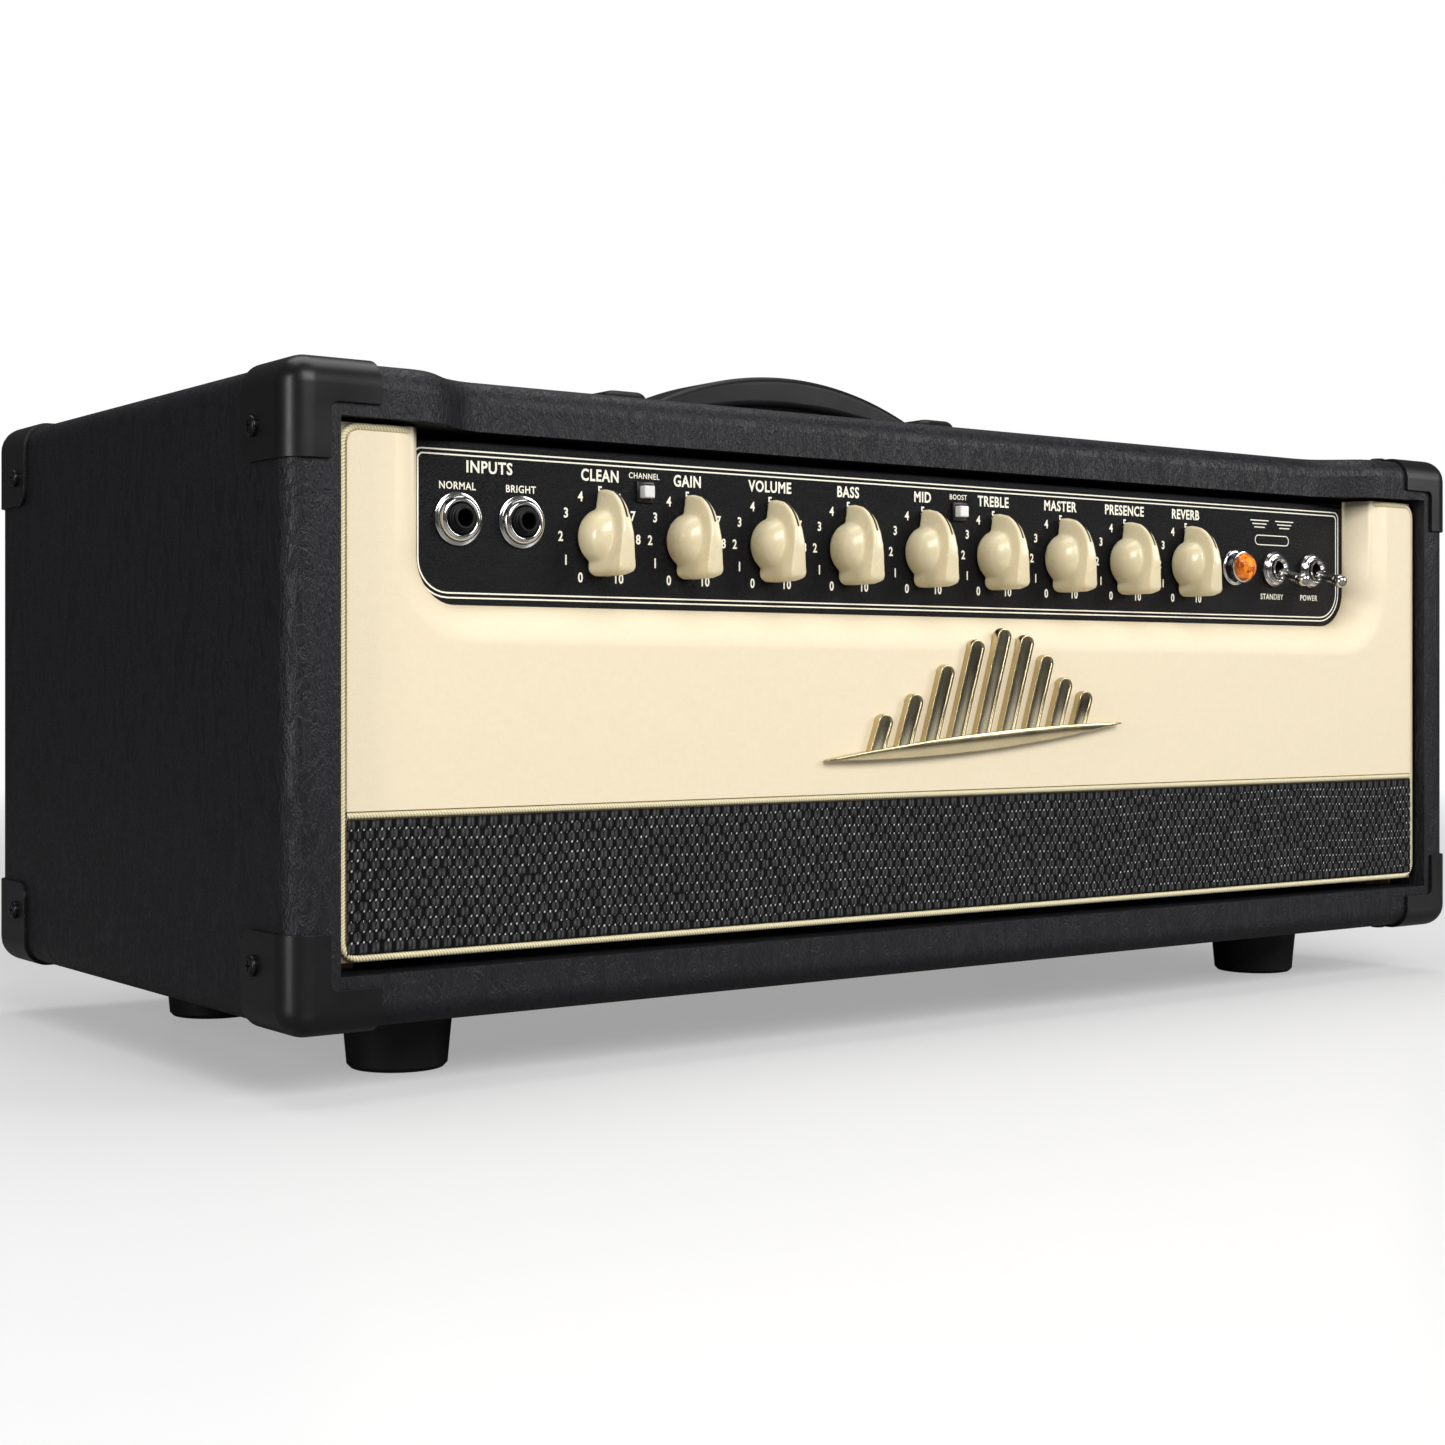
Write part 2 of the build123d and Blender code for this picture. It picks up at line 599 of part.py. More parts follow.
with BuildPart() as chassis:
    wall_low = chassis_low_z
    with Locations((0, (chassis_front_y + chassis_back_y) / 2, wall_low)):
        Box(2 * chassis_half, chassis_back_y - chassis_front_y, ceiling_z - wall_low,
            align=(Align.CENTER, Align.CENTER, Align.MIN))
    with Locations((0, (chassis_front_y + chassis_back_y) / 2, wall_low + sheet)):
        Box(2 * (chassis_half - sheet), chassis_back_y - chassis_front_y - 2 * sheet, ceiling_z,
            align=(Align.CENTER, Align.CENTER, Align.MIN), mode=Mode.SUBTRACT)
    with Locations((0, chassis_front_y, control_top_z - sheet - fit_gap)):
        Box(3 * chassis_half, 4 * sheet, board, align=(Align.CENTER, Align.CENTER, Align.MIN),
            mode=Mode.SUBTRACT)
    for side in (-1, 1):
        with Locations(*[(side * chassis_half, y, ceiling_z) for x, y in chassis_bolt_places[:2]]):
            tab_align = Align.MAX if side > 0 else Align.MIN
            Box(tab + 6.0, tab, 2 * sheet, align=(tab_align, Align.CENTER, Align.MAX))
    with Locations(*[(x, y, ceiling_z) for x, y in chassis_bolt_places]):
        Cylinder(chassis_bolt_radius + screw_gap, 4 * sheet, mode=Mode.SUBTRACT)
    add(control_holes.part, mode=Mode.SUBTRACT)
    with BuildSketch(Plane.XZ.offset(-chassis_back_y - sheet)):
        with Locations(*[(x, rear_axis_z) for x in rear_jack_x]):
            Circle(jack_hole)
        with Locations(*[(x, rear_axis_z) for x in fuse_x]):
            Circle(7.0 + screw_gap)
        with Locations((inlet_x, rear_axis_z)):
            Rectangle(27.6, 20.6)
    extrude(amount=4 * sheet, mode=Mode.SUBTRACT)
    with Locations(*[(x, tube_y["power"], wall_low) for x in tube_x["power"]]):
        Cylinder(power_socket_radius - 5.0, 4 * sheet, mode=Mode.SUBTRACT)
    with Locations(*[(x, tube_y["preamp"], wall_low) for x in tube_x["preamp"]]):
        Cylinder(preamp_socket_radius - 3.0, 4 * sheet, mode=Mode.SUBTRACT)
save(chassis, "chassis")

chassis_bolt = pan_screw(6.0, 3.0, chassis_bolt_radius, board + 9.0)
with BuildPart() as chassis_bolts:
    with Locations(*[facing_up(x, y, top_z) for x, y in chassis_bolt_places]):
        add(chassis_bolt)
    with Locations(*[facing_down(x, y, ceiling_z - 2 * sheet) for x, y in chassis_bolt_places]):
        Cylinder(4.5, 4.0, align=(Align.CENTER, Align.CENTER, Align.MIN))
save(chassis_bolts, "chassis_bolts")

# ---------------------------------------------------------------- potentiometers and knobs
pot_front_y = chassis_front_y + sheet
bushing_front_y = control_face_y - bushing_length
nut_height = 2.2
washer_height = 0.6
shaft_back_y = pot_front_y + pot_depth - 2.0

with BuildPart() as one_pot:
    Cylinder(pot_radius, pot_depth, align=(Align.CENTER, Align.CENTER, Align.MAX))
    fillet(one_pot.edges().sort_by(Axis.Z)[0], 1.5)
    Cylinder(bushing_radius, pot_front_y - bushing_front_y, align=(Align.CENTER, Align.CENTER, Align.MIN))
    with Locations((0, -pot_radius, -pot_depth / 2)):
        Box(16.0, 8.0, 2.0)
    with Locations((0, 0, -pot_depth + 1.5)):
        Cylinder(shaft_radius + running_gap, 3 * pot_depth, align=(Align.CENTER, Align.CENTER, Align.MIN),
                 mode=Mode.SUBTRACT)

with BuildPart() as potentiometers:
    with Locations(*[facing_front(x, pot_front_y, axis_z) for x in knob_x]):
        add(one_pot.part)
save(potentiometers, "potentiometers")

pot_washer_radius = bushing_radius + 2.8
pot_nut = ring_nut(bushing_radius + 2.2, pot_hole, nut_height, pot_washer_radius, washer_height)
with BuildPart() as pot_nuts:
    with Locations(*[facing_front(x, control_face_y, axis_z) for x in knob_x]):
        add(pot_nut)
save(pot_nuts, "pot_nuts")

nut_clear_radius = pot_washer_radius + fit_gap
nut_clear_depth = bushing_length + 1.0
shaft_end = 10.5                    # end of the shaft above the knob's back
shaft_in_knob = 0.02                # slack of the knob on its shaft

with BuildPart() as pointer_knob:
    Cylinder(knob_hub_radius, knob_hub_height, align=(Align.CENTER, Align.CENTER, Align.MIN))
    fillet(pointer_knob.edges().sort_by(Axis.Z)[-1], 7.0)
with BuildPart() as pointer_blade:
    with BuildSketch(Plane.YZ.offset(-pointer_half)):
        with BuildLine():
            Line((-knob_tail_reach, 0), (knob_tip_reach, 0))
            Line((knob_tip_reach, 0), (knob_tip_reach, 1.2))
            Bezier((knob_tip_reach, 1.2), (knob_tip_reach - 1, 13), (8, knob_crest), (0, knob_crest))
            Line((0, knob_crest), (-knob_tail_reach + 3, knob_crest - 0.8))
            Bezier((-knob_tail_reach + 3, knob_crest - 0.8), (-knob_tail_reach, knob_crest - 0.8),
                   (-knob_tail_reach, knob_crest - 3))
            Line((-knob_tail_reach, knob_crest - 3), (-knob_tail_reach, 0))
        make_face()
    extrude(amount=2 * pointer_half)
    with BuildSketch(Plane.XY) as pointer_plan:
        with BuildLine():
            Polyline((-pointer_half, -knob_tail_reach), (pointer_half, -knob_tail_reach), (5.6, 4),
                     (0.9, knob_tip_reach),
                     (-0.9, knob_tip_reach), (-5.6, 4), close=True)
        make_face()
        fillet(pointer_plan.vertices().group_by(Axis.Y)[0], 2.2)
    extrude(amount=knob_crest + 1, mode=Mode.INTERSECT)
    with BuildSketch(Plane.XZ.offset(-knob_tip_reach)):
        with BuildLine():
            Polyline((-6.6, 0), (6.6, 0), (2.3, knob_crest), (-2.3, knob_crest), close=True)
        make_face()
    extrude(amount=knob_tip_reach + knob_tail_reach, mode=Mode.INTERSECT)

with BuildPart() as knob_body:
    add(pointer_knob.part)
    add(pointer_blade.part)
    Cylinder(nut_clear_radius, nut_clear_depth, align=(Align.CENTER, Align.CENTER, Align.MIN),
             mode=Mode.SUBTRACT)
    Cylinder(shaft_radius + shaft_in_knob, shaft_end + shaft_in_knob,
             align=(Align.CENTER, Align.CENTER, Align.MIN), mode=Mode.SUBTRACT)

knob_back_y = control_face_y - knob_back_gap
with BuildPart() as knob_shaft:
    with Locations((0, 0, shaft_end)):
        Cylinder(shaft_radius, shaft_end + shaft_back_y - knob_back_y,
                 align=(Align.CENTER, Align.CENTER, Align.MAX))

for x, knob_name in zip(knob_x, knob_names):
    with BuildPart() as knob:
        with Locations(facing_front(x, knob_back_y, axis_z)):
            add(knob_body.part)
            add(knob_shaft.part)
    save(knob, f"{knob_name}_knob")

# ---------------------------------------------------------------- input jacks
with BuildPart() as one_jack:
    with Locations((0, 0, 0)):
        Box(20.0, 22.0, jack_depth - jack_nose - sheet, align=(Align.CENTER, Align.CENTER, Align.MAX))
    fillet(one_jack.edges().filter_by(Axis.Z), 2.0)
    Cylinder(jack_thread_radius, jack_nose + 2 * sheet, align=(Align.CENTER, Align.CENTER, Align.MIN))
    Cylinder(jack_bore_radius, 4 * jack_depth, mode=Mode.SUBTRACT)

with BuildPart() as input_jacks:
    with Locations(*[facing_front(x, pot_front_y, jack_z) for x in jack_x]):
        add(one_jack.part)
save(input_jacks, "input_jacks")

jack_nut = ring_nut(jack_thread_radius + 2.7, jack_hole, 2.4, jack_thread_radius + 4.4, 0.9)
with BuildPart() as input_jack_nuts:
    with Locations(*[facing_front(x, control_face_y, jack_z) for x in jack_x]):
        add(jack_nut)
save(input_jack_nuts, "input_jack_nuts")

# ---------------------------------------------------------------- pilot lamp
lamp_ring_radius = 7.9
jewel_radius = 7.3
jewel_base = 4.4
with BuildPart() as lamp_holder:
    with Locations(facing_front(lamp_x, control_face_y, axis_z)):
        Cylinder(9.1, 1.6, align=(Align.CENTER, Align.CENTER, Align.MIN))
        Cylinder(lamp_neck_radius, 25.0 + jewel_base, align=(Align.CENTER, Align.CENTER, Align.MIN),
                 rotation=(180, 0, 0))
        Cylinder(lamp_neck_radius, jewel_base, align=(Align.CENTER, Align.CENTER, Align.MIN))
    with Locations(facing_front(lamp_x, control_face_y - jewel_base + 1.8, axis_z)):
        Cylinder(lamp_ring_radius, 2.4, align=(Align.CENTER, Align.CENTER, Align.MIN))
save(lamp_holder, "lamp_holder")

jewel_seat_y = control_face_y - jewel_base - 0.6
with BuildPart() as lamp_jewel:
    with BuildSketch(facing_front(lamp_x, jewel_seat_y, axis_z)):
        RegularPolygon(jewel_radius, 12)
    extrude(amount=6.2, taper=32)
save(lamp_jewel, "lamp_jewel")

# ---------------------------------------------------------------- toggle switches
toggle_pivot_y = control_face_y + 1.0
toggle_mouth = 6.0
pivot_radius = 3.4
toggle_bore = pivot_radius + fit_gap
lever_radius = 1.35

with BuildPart() as one_toggle:
    Box(14.0, 27.0, 18.0, align=(Align.CENTER, Align.CENTER, Align.MAX))
    fillet(one_toggle.edges().filter_by(Axis.Z), 1.0)
    Cylinder(toggle_thread_radius, pot_front_y - control_face_y + toggle_mouth,
             align=(Align.CENTER, Align.CENTER, Align.MIN))
    with Locations((0, 0, -6.0)):
        Cylinder(toggle_bore, 40.0, align=(Align.CENTER, Align.CENTER, Align.MIN), mode=Mode.SUBTRACT)
    chamfer(one_toggle.edges().filter_by(GeomType.CIRCLE).group_by(Axis.Z)[-1].sort_by(SortBy.RADIUS)[0], 1.2)

with BuildPart() as toggle_switches:
    with Locations(*[facing_front(x, pot_front_y, axis_z) for x in toggle_x.values()]):
        add(one_toggle.part)
save(toggle_switches, "toggle_switches")

with BuildPart() as one_dress_nut:
    Cylinder(9.7, 1.4, align=(Align.CENTER, Align.CENTER, Align.MIN))
    with Locations((0, 0, 1.4)):
        Cylinder(8.3, 2.8, align=(Align.CENTER, Align.CENTER, Align.MIN))
    fillet(one_dress_nut.edges().sort_by(Axis.Z)[-1], 1.2)
    Cylinder(toggle_hole, 20.0, mode=Mode.SUBTRACT)

with BuildPart() as toggle_nuts:
    with Locations(*[facing_front(x, control_face_y, axis_z) for x in toggle_x.values()]):
        add(one_dress_nut.part)
save(toggle_nuts, "toggle_nuts")

with BuildPart() as one_lever:
    Sphere(pivot_radius)
    Cone(lever_radius, lever_radius * 1.5, toggle_reach, align=(Align.CENTER, Align.CENTER, Align.MIN))
    with Locations((0, 0, toggle_reach)):
        Sphere(toggle_tip_radius)

for toggle_name, x in toggle_x.items():
    droop = radians(toggle_throw)
    lever_plane = Plane(origin=(x, toggle_pivot_y, axis_z), x_dir=(1, 0, 0),
                        z_dir=(0, -cos(droop), -sin(droop)))
    with BuildPart() as lever:
        with Locations(lever_plane):
            add(one_lever.part)
    save(lever, f"{toggle_name}_lever")

# ---------------------------------------------------------------- push switches
frame_size = button_hole - 2 * screw_gap
button_clear = button_size + 2 * fit_gap
switch_back_y = pot_front_y + 14.0

with BuildPart() as push_switches:
    for x in button_x.values():
        with Locations((x, control_face_y - 0.6, button_z)):
            Box(frame_size, pot_front_y - control_face_y + 0.6, frame_size,
                align=(Align.CENTER, Align.MIN, Align.CENTER))
        with Locations((x, pot_front_y, button_z)):
            Box(11.0, switch_back_y - pot_front_y, 11.0, align=(Align.CENTER, Align.MIN, Align.CENTER))
        with Locations((x, control_face_y - 1.0, button_z)):
            Box(button_clear, switch_back_y - control_face_y - 2.0, button_clear,
                align=(Align.CENTER, Align.MIN, Align.CENTER), mode=Mode.SUBTRACT)
save(push_switches, "push_switches")

for button_name, x in button_x.items():
    with BuildPart() as button:
        with Locations((x, control_face_y - button_stand, button_z)):
            Box(button_size, button_stand + 8.0, button_size, align=(Align.CENTER, Align.MIN, Align.CENTER))
        chamfer(button.faces().sort_by(Axis.Y)[0].edges(), 0.4)
    save(button, f"{button_name}_button")

# ---------------------------------------------------------------- electronics inside the chassis
inside_z = chassis_low_z + sheet
standoff = 10.0

with BuildPart() as circuit_board:
    with Locations((-20.0, -20.0, inside_z + standoff)):
        Box(460.0, 120.0, 1.6, align=(Align.CENTER, Align.CENTER, Align.MIN))
    with Locations((-20.0, -20.0, inside_z)):
        with GridLocations(440.0, 100.0, 2, 2):
            Cylinder(3.0, standoff, align=(Align.CENTER, Align.CENTER, Align.MIN))
save(circuit_board, "circuit_board")

with BuildPart() as filter_capacitors:
    with Locations(*[(x, 0.0, inside_z + standoff + 1.6) for x in (20.0, 60.0, 100.0, 140.0)]):
        Cylinder(12.0, 32.0, align=(Align.CENTER, Align.CENTER, Align.MIN))
    fillet(filter_capacitors.edges().group_by(Axis.Z)[-1], 1.2)
save(filter_capacitors, "filter_capacitors")


def transformer(x, y, width, depth, height, stack):
    """Laminated core with a coil and end bells, hanging from the chassis underside."""
    with BuildPart() as built:
        with Locations((x, y, chassis_low_z)):
            Box(width, stack, height, align=(Align.CENTER, Align.CENTER, Align.MAX))
        with Locations((x, y, chassis_low_z - height * 0.16)):
            Box(width * 0.68, depth, height * 0.68, align=(Align.CENTER, Align.CENTER, Align.MAX))
        bells = built.edges().filter_by(Axis.X).group_by(Axis.Y)
        fillet(bells[0] + bells[-1], depth * 0.12)
        with Locations((x, y, chassis_low_z)):
            Box(width + 18.0, stack * 0.7, 2.5, align=(Align.CENTER, Align.CENTER, Align.MAX))
    return built


save(transformer(215.0, 55.0, 105.0, 96.0, 88.0, 46.0), "power_transformer")
save(transformer(104.0, -12.0, 68.0, 70.0, 66.0, 34.0), "output_transformer")
save(transformer(215.0, -65.0, 52.0, 48.0, 44.0, 22.0), "choke")


def bottle(radius, height, base_radius, base_height):
    """Tube hanging down from Z = 0: base, then a domed glass envelope."""
    with BuildPart() as tube:
        Cylinder(base_radius, base_height, align=(Align.CENTER, Align.CENTER, Align.MAX))
        with Locations((0, 0, -base_height)):
            Cylinder(radius, height - base_height, align=(Align.CENTER, Align.CENTER, Align.MAX))
        fillet(tube.edges().sort_by(Axis.Z)[0], radius * 0.6)
    return tube.part


socket_height = {"power": 8.0, "preamp": 7.0}
power_tube = bottle(power_glass_radius, 84.0, 17.0, 14.0)
preamp_tube = bottle(preamp_glass_radius, 48.0, 9.0, 2.0)

with BuildPart() as power_tubes:
    with Locations(*[(x, tube_y["power"], chassis_low_z - socket_height["power"]) for x in tube_x["power"]]):
        add(power_tube)
save(power_tubes, "power_tubes")

with BuildPart() as preamp_tubes:
    preamp_seat_z = chassis_low_z - socket_height["preamp"]
    with Locations(*[(x, tube_y["preamp"], preamp_seat_z) for x in tube_x["preamp"]]):
        add(preamp_tube)
save(preamp_tubes, "preamp_tubes")

with BuildPart() as power_tube_sockets:
    with Locations(*[(x, tube_y["power"], chassis_low_z) for x in tube_x["power"]]):
        Cylinder(power_socket_radius, socket_height["power"], align=(Align.CENTER, Align.CENTER, Align.MAX))
        Box(58.0, 14.0, 2.0, align=(Align.CENTER, Align.CENTER, Align.MAX))
save(power_tube_sockets, "power_tube_sockets")

with BuildPart() as preamp_tube_sockets:
    with Locations(*[(x, tube_y["preamp"], chassis_low_z) for x in tube_x["preamp"]]):
        Cylinder(preamp_socket_radius, socket_height["preamp"], align=(Align.CENTER, Align.CENTER, Align.MAX))
        Box(34.0, 10.0, 1.6, align=(Align.CENTER, Align.CENTER, Align.MAX))
save(preamp_tube_sockets, "preamp_tube_sockets")

with BuildPart() as reverb_tank:
    with Locations((-40.0, -50.0, floor_z)):
        Box(tank_length, tank_depth, tank_height, align=(Align.CENTER, Align.CENTER, Align.MIN))
        Box(tank_length + 24.0, tank_depth, sheet, align=(Align.CENTER, Align.CENTER, Align.MIN))
    fillet(reverb_tank.edges().group_by(Axis.Z)[-1], 2.0)
    with Locations((-40.0, -50.0, floor_z)):
        Box(tank_length - 2 * sheet, tank_depth - 2 * sheet, 2 * (tank_height - sheet), mode=Mode.SUBTRACT)
save(reverb_tank, "reverb_tank")

# ---------------------------------------------------------------- back of the amplifier
vent_width = 4.5
vent_height = 34.0
vent_pitch = 11.0
vent_columns = 42
rear_panel_high_z = chassis_low_z - 1.0

with BuildPart() as rear_panel:
    with BuildSketch(Plane.XZ.offset(-rear_plate_y)) as rear_outline:
        with Locations((0, floor_z + 0.5)):
            Rectangle(2 * (wall_x - 0.5), rear_panel_high_z - floor_z - 0.5, align=(Align.CENTER, Align.MIN))
        with Locations((0, (floor_z + rear_panel_high_z) / 2)):
            with GridLocations(vent_pitch, vent_height + 8.0, vent_columns, 2):
                SlotOverall(vent_height, vent_width, rotation=90, mode=Mode.SUBTRACT)
    extrude(amount=-sheet)
rear_screw_x = wall_x - batten / 2
rear_screw_planes = []
for side in (-1, 1):
    for z in (floor_z + 14.0, rear_panel_high_z - 14.0):
        rear_screw_planes.append(facing_back(side * rear_screw_x, rear_plate_y + sheet, z))
with BuildPart() as drilled_rear_panel:
    add(rear_panel.part)
    with Locations(*rear_screw_planes):
        Cylinder(guard_screw_shank + screw_gap, 6 * sheet, mode=Mode.SUBTRACT)
save(drilled_rear_panel, "rear_panel")

rear_screw = pan_screw(4.0, 2.2, guard_screw_shank, sheet)
with BuildPart() as rear_panel_screws:
    with Locations(*rear_screw_planes):
        add(rear_screw)
save(rear_panel_screws, "rear_panel_screws")

rear_inner_y = chassis_back_y - sheet
with BuildPart() as rear_jacks:
    with Locations(*[facing_back(x, rear_inner_y, rear_axis_z) for x in rear_jack_x]):
        add(one_jack.part)
save(rear_jacks, "rear_jacks")

with BuildPart() as rear_jack_nuts:
    with Locations(*[facing_back(x, chassis_back_y, rear_axis_z) for x in rear_jack_x]):
        add(jack_nut)
save(rear_jack_nuts, "rear_jack_nuts")

inlet_depth = 16.0
with BuildPart() as power_inlet:
    with Locations((inlet_x, chassis_back_y, rear_axis_z)):
        Box(50.0, 3.0, 26.0, align=(Align.CENTER, Align.MIN, Align.CENTER))
    fillet(power_inlet.edges().filter_by(Axis.Y), 4.0)
    with Locations((inlet_x, chassis_back_y, rear_axis_z)):
        Box(27.2, inlet_depth + 2.0, 20.2, align=(Align.CENTER, Align.MAX, Align.CENTER))
    with Locations((inlet_x, chassis_back_y + 3.0, rear_axis_z)):
        Box(24.0, inlet_depth + 1.0, 17.0, align=(Align.CENTER, Align.MAX, Align.CENTER), mode=Mode.SUBTRACT)
    pin_y = chassis_back_y + 3.0 - inlet_depth - 1.0
    with Locations((inlet_x - 7.0, pin_y, rear_axis_z + 1.0), (inlet_x + 7.0, pin_y, rear_axis_z + 1.0),
                   (inlet_x, pin_y, rear_axis_z + 5.0)):
        Box(2.0, inlet_depth - 3.0, 4.0, align=(Align.CENTER, Align.MIN, Align.CENTER))
save(power_inlet, "power_inlet")

with BuildPart() as fuse_holders:
    for x in fuse_x:
        with Locations(facing_back(x, chassis_back_y, rear_axis_z)):
            Cylinder(9.0, 2.0, align=(Align.CENTER, Align.CENTER, Align.MIN))
            Cylinder(7.6, 9.0, align=(Align.CENTER, Align.CENTER, Align.MIN))
            Cylinder(7.0, 30.0, align=(Align.CENTER, Align.CENTER, Align.MAX))
save(fuse_holders, "fuse_holders")
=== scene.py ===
import json
import math
import random

import bpy
from mathutils import Matrix, Vector

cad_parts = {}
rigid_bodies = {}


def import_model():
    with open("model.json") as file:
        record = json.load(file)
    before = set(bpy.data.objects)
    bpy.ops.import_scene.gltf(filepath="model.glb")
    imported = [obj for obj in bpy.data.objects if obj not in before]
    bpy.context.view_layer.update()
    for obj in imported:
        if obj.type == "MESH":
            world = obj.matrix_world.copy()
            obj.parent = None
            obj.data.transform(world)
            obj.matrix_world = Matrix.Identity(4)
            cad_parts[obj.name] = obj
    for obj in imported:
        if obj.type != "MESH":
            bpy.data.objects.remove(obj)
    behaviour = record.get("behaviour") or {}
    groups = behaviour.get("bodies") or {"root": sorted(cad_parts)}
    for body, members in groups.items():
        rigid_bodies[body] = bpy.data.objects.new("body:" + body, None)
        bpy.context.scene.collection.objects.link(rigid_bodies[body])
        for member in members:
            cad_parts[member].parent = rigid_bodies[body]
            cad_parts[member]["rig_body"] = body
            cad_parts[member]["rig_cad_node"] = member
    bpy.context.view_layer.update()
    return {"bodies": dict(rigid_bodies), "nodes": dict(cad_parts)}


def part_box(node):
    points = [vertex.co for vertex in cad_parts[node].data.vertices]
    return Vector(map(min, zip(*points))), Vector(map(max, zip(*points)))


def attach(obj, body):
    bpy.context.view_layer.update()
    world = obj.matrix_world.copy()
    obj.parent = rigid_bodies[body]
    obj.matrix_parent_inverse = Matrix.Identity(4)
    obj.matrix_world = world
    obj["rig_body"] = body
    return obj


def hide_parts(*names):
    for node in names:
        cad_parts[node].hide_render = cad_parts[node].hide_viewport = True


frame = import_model()
nodes = frame["nodes"]
random.seed(5)
mm = 0.001
print("frame loaded,", len(nodes), "nodes")


# ---- small helpers for objects

def onlySelect(piece):
    bpy.ops.object.select_all(action="DESELECT")
    piece.select_set(True)
    bpy.context.view_layer.objects.active = piece


def settle(piece):
    # put the place, turn and size into the mesh
    onlySelect(piece)
    bpy.ops.object.transform_apply(location=True, rotation=True, scale=True)


def modify(piece, kind, **settings):
    onlySelect(piece)
    modifier = piece.modifiers.new("work", kind)
    for name, value in settings.items():
        setattr(modifier, name, value)
    bpy.ops.object.modifier_apply(modifier=modifier.name)


def joined(pieces, name):
    bpy.ops.object.select_all(action="DESELECT")
    for piece in pieces:
        piece.select_set(True)
    bpy.context.view_layer.objects.active = pieces[0]
    bpy.ops.object.join()
    whole = bpy.context.active_object
    whole.name = name
    settle(whole)
    return whole


def editSelected(piece, test, mode="FACE"):
    # leave the piece in edit mode with only the wanted faces, edges or vertices picked
    onlySelect(piece)
    bpy.ops.object.mode_set(mode="EDIT")
    bpy.ops.mesh.select_mode(type=mode)
    bpy.ops.mesh.select_all(action="DESELECT")
    bpy.ops.object.mode_set(mode="OBJECT")
    mesh = piece.data
    parts = {"FACE": mesh.polygons, "EDGE": mesh.edges, "VERT": mesh.vertices}[mode]
    for part in parts:
        part.select = test(part)
    bpy.ops.object.mode_set(mode="EDIT")


def editAll(piece, mode="FACE"):
    editSelected(piece, lambda part: True, mode)
    bpy.ops.mesh.select_all(action="SELECT")


def objectMode():
    bpy.ops.object.mode_set(mode="OBJECT")


def smooth(piece, degrees=35):
    onlySelect(piece)
    bpy.ops.object.shade_smooth_by_angle(angle=math.radians(degrees))


def tidyNormals(piece, distance=0.00001):
    editAll(piece)
    bpy.ops.mesh.remove_doubles(threshold=distance)
    bpy.ops.mesh.normals_make_consistent(inside=False)
    objectMode()


def duplicate(piece, name, move=(0, 0, 0)):
    twin = piece.copy()
    twin.data = piece.data.copy()
    twin.name = name
    bpy.context.scene.collection.objects.link(twin)
    twin.data.transform(Matrix.Translation(move))
    return twin


def copyNode(nodeName, name):
    # a merged copy of a CAD node, free to be shaped
    piece = nodes[nodeName].copy()
    piece.data = nodes[nodeName].data.copy()
    piece.name = name
    piece.parent = None
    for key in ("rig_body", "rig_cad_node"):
        del piece[key]
    bpy.context.scene.collection.objects.link(piece)
    piece.data.materials.clear()
    editAll(piece)
    bpy.ops.mesh.remove_doubles(threshold=0.000004)
    bpy.ops.mesh.dissolve_limited(angle_limit=math.radians(0.4))
    objectMode()
    return piece


def bodyOf(nodeName):
    return nodes[nodeName]["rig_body"]


def finishPiece(piece, body, slot, material, *replaced):
    piece.data.materials.clear()
    piece.data.materials.append(material)
    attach(piece, body)
    if replaced:
        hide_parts(*replaced)


def refine(nodeName, slot, material, bevel=0.0003, segments=2, angle=30):
    # the CAD shape with its sharp edges softened
    piece = copyNode(nodeName, nodeName + "_detail")
    if bevel:
        modify(piece, "BEVEL", width=bevel, segments=segments, limit_method="ANGLE",
               angle_limit=math.radians(angle), harden_normals=False, use_clamp_overlap=True)
    smooth(piece, angle + 5)
    modify(piece, "WEIGHTED_NORMAL", keep_sharp=True, weight=80)
    finishPiece(piece, bodyOf(nodeName), slot, material, nodeName)


def paint(material, *nodeNames):
    for nodeName in nodeNames:
        for materialSlot in nodes[nodeName].material_slots:
            materialSlot.material = material


def centre(nodeName):
    low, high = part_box(nodeName)
    return (low + high) / 2


# ---- small helpers for materials

def addNode(tree, kind, **settings):
    node = tree.nodes.new(kind)
    for name, value in settings.items():
        if name in node.inputs:
            node.inputs[name].default_value = value
        else:
            setattr(node, name, value)
    return node


def link(tree, source, target, output=0, socket=0):
    tree.links.new(source.outputs[output], target.inputs[socket])


def newMaterial(name, **settings):
    material = bpy.data.materials.new(name)
    material.use_nodes = True
    tree = material.node_tree
    shader = tree.nodes["Principled BSDF"]
    for socket, value in settings.items():
        shader.inputs[socket.replace("_", " ")].default_value = value
    return material, tree, shader


def objectPlace(tree, scale=(1, 1, 1)):
    place = addNode(tree, "ShaderNodeTexCoord")
    mapping = addNode(tree, "ShaderNodeMapping")
    mapping.inputs["Scale"].default_value = scale
    link(tree, place, mapping, "Object", "Vector")
    return mapping


def bump(tree, shader, height, output, strength, distance):
    node = addNode(tree, "ShaderNodeBump")
    node.inputs["Strength"].default_value = strength
    node.inputs["Distance"].default_value = distance
    link(tree, height, node, output, "Height")
    link(tree, node, shader, "Normal", "Normal")


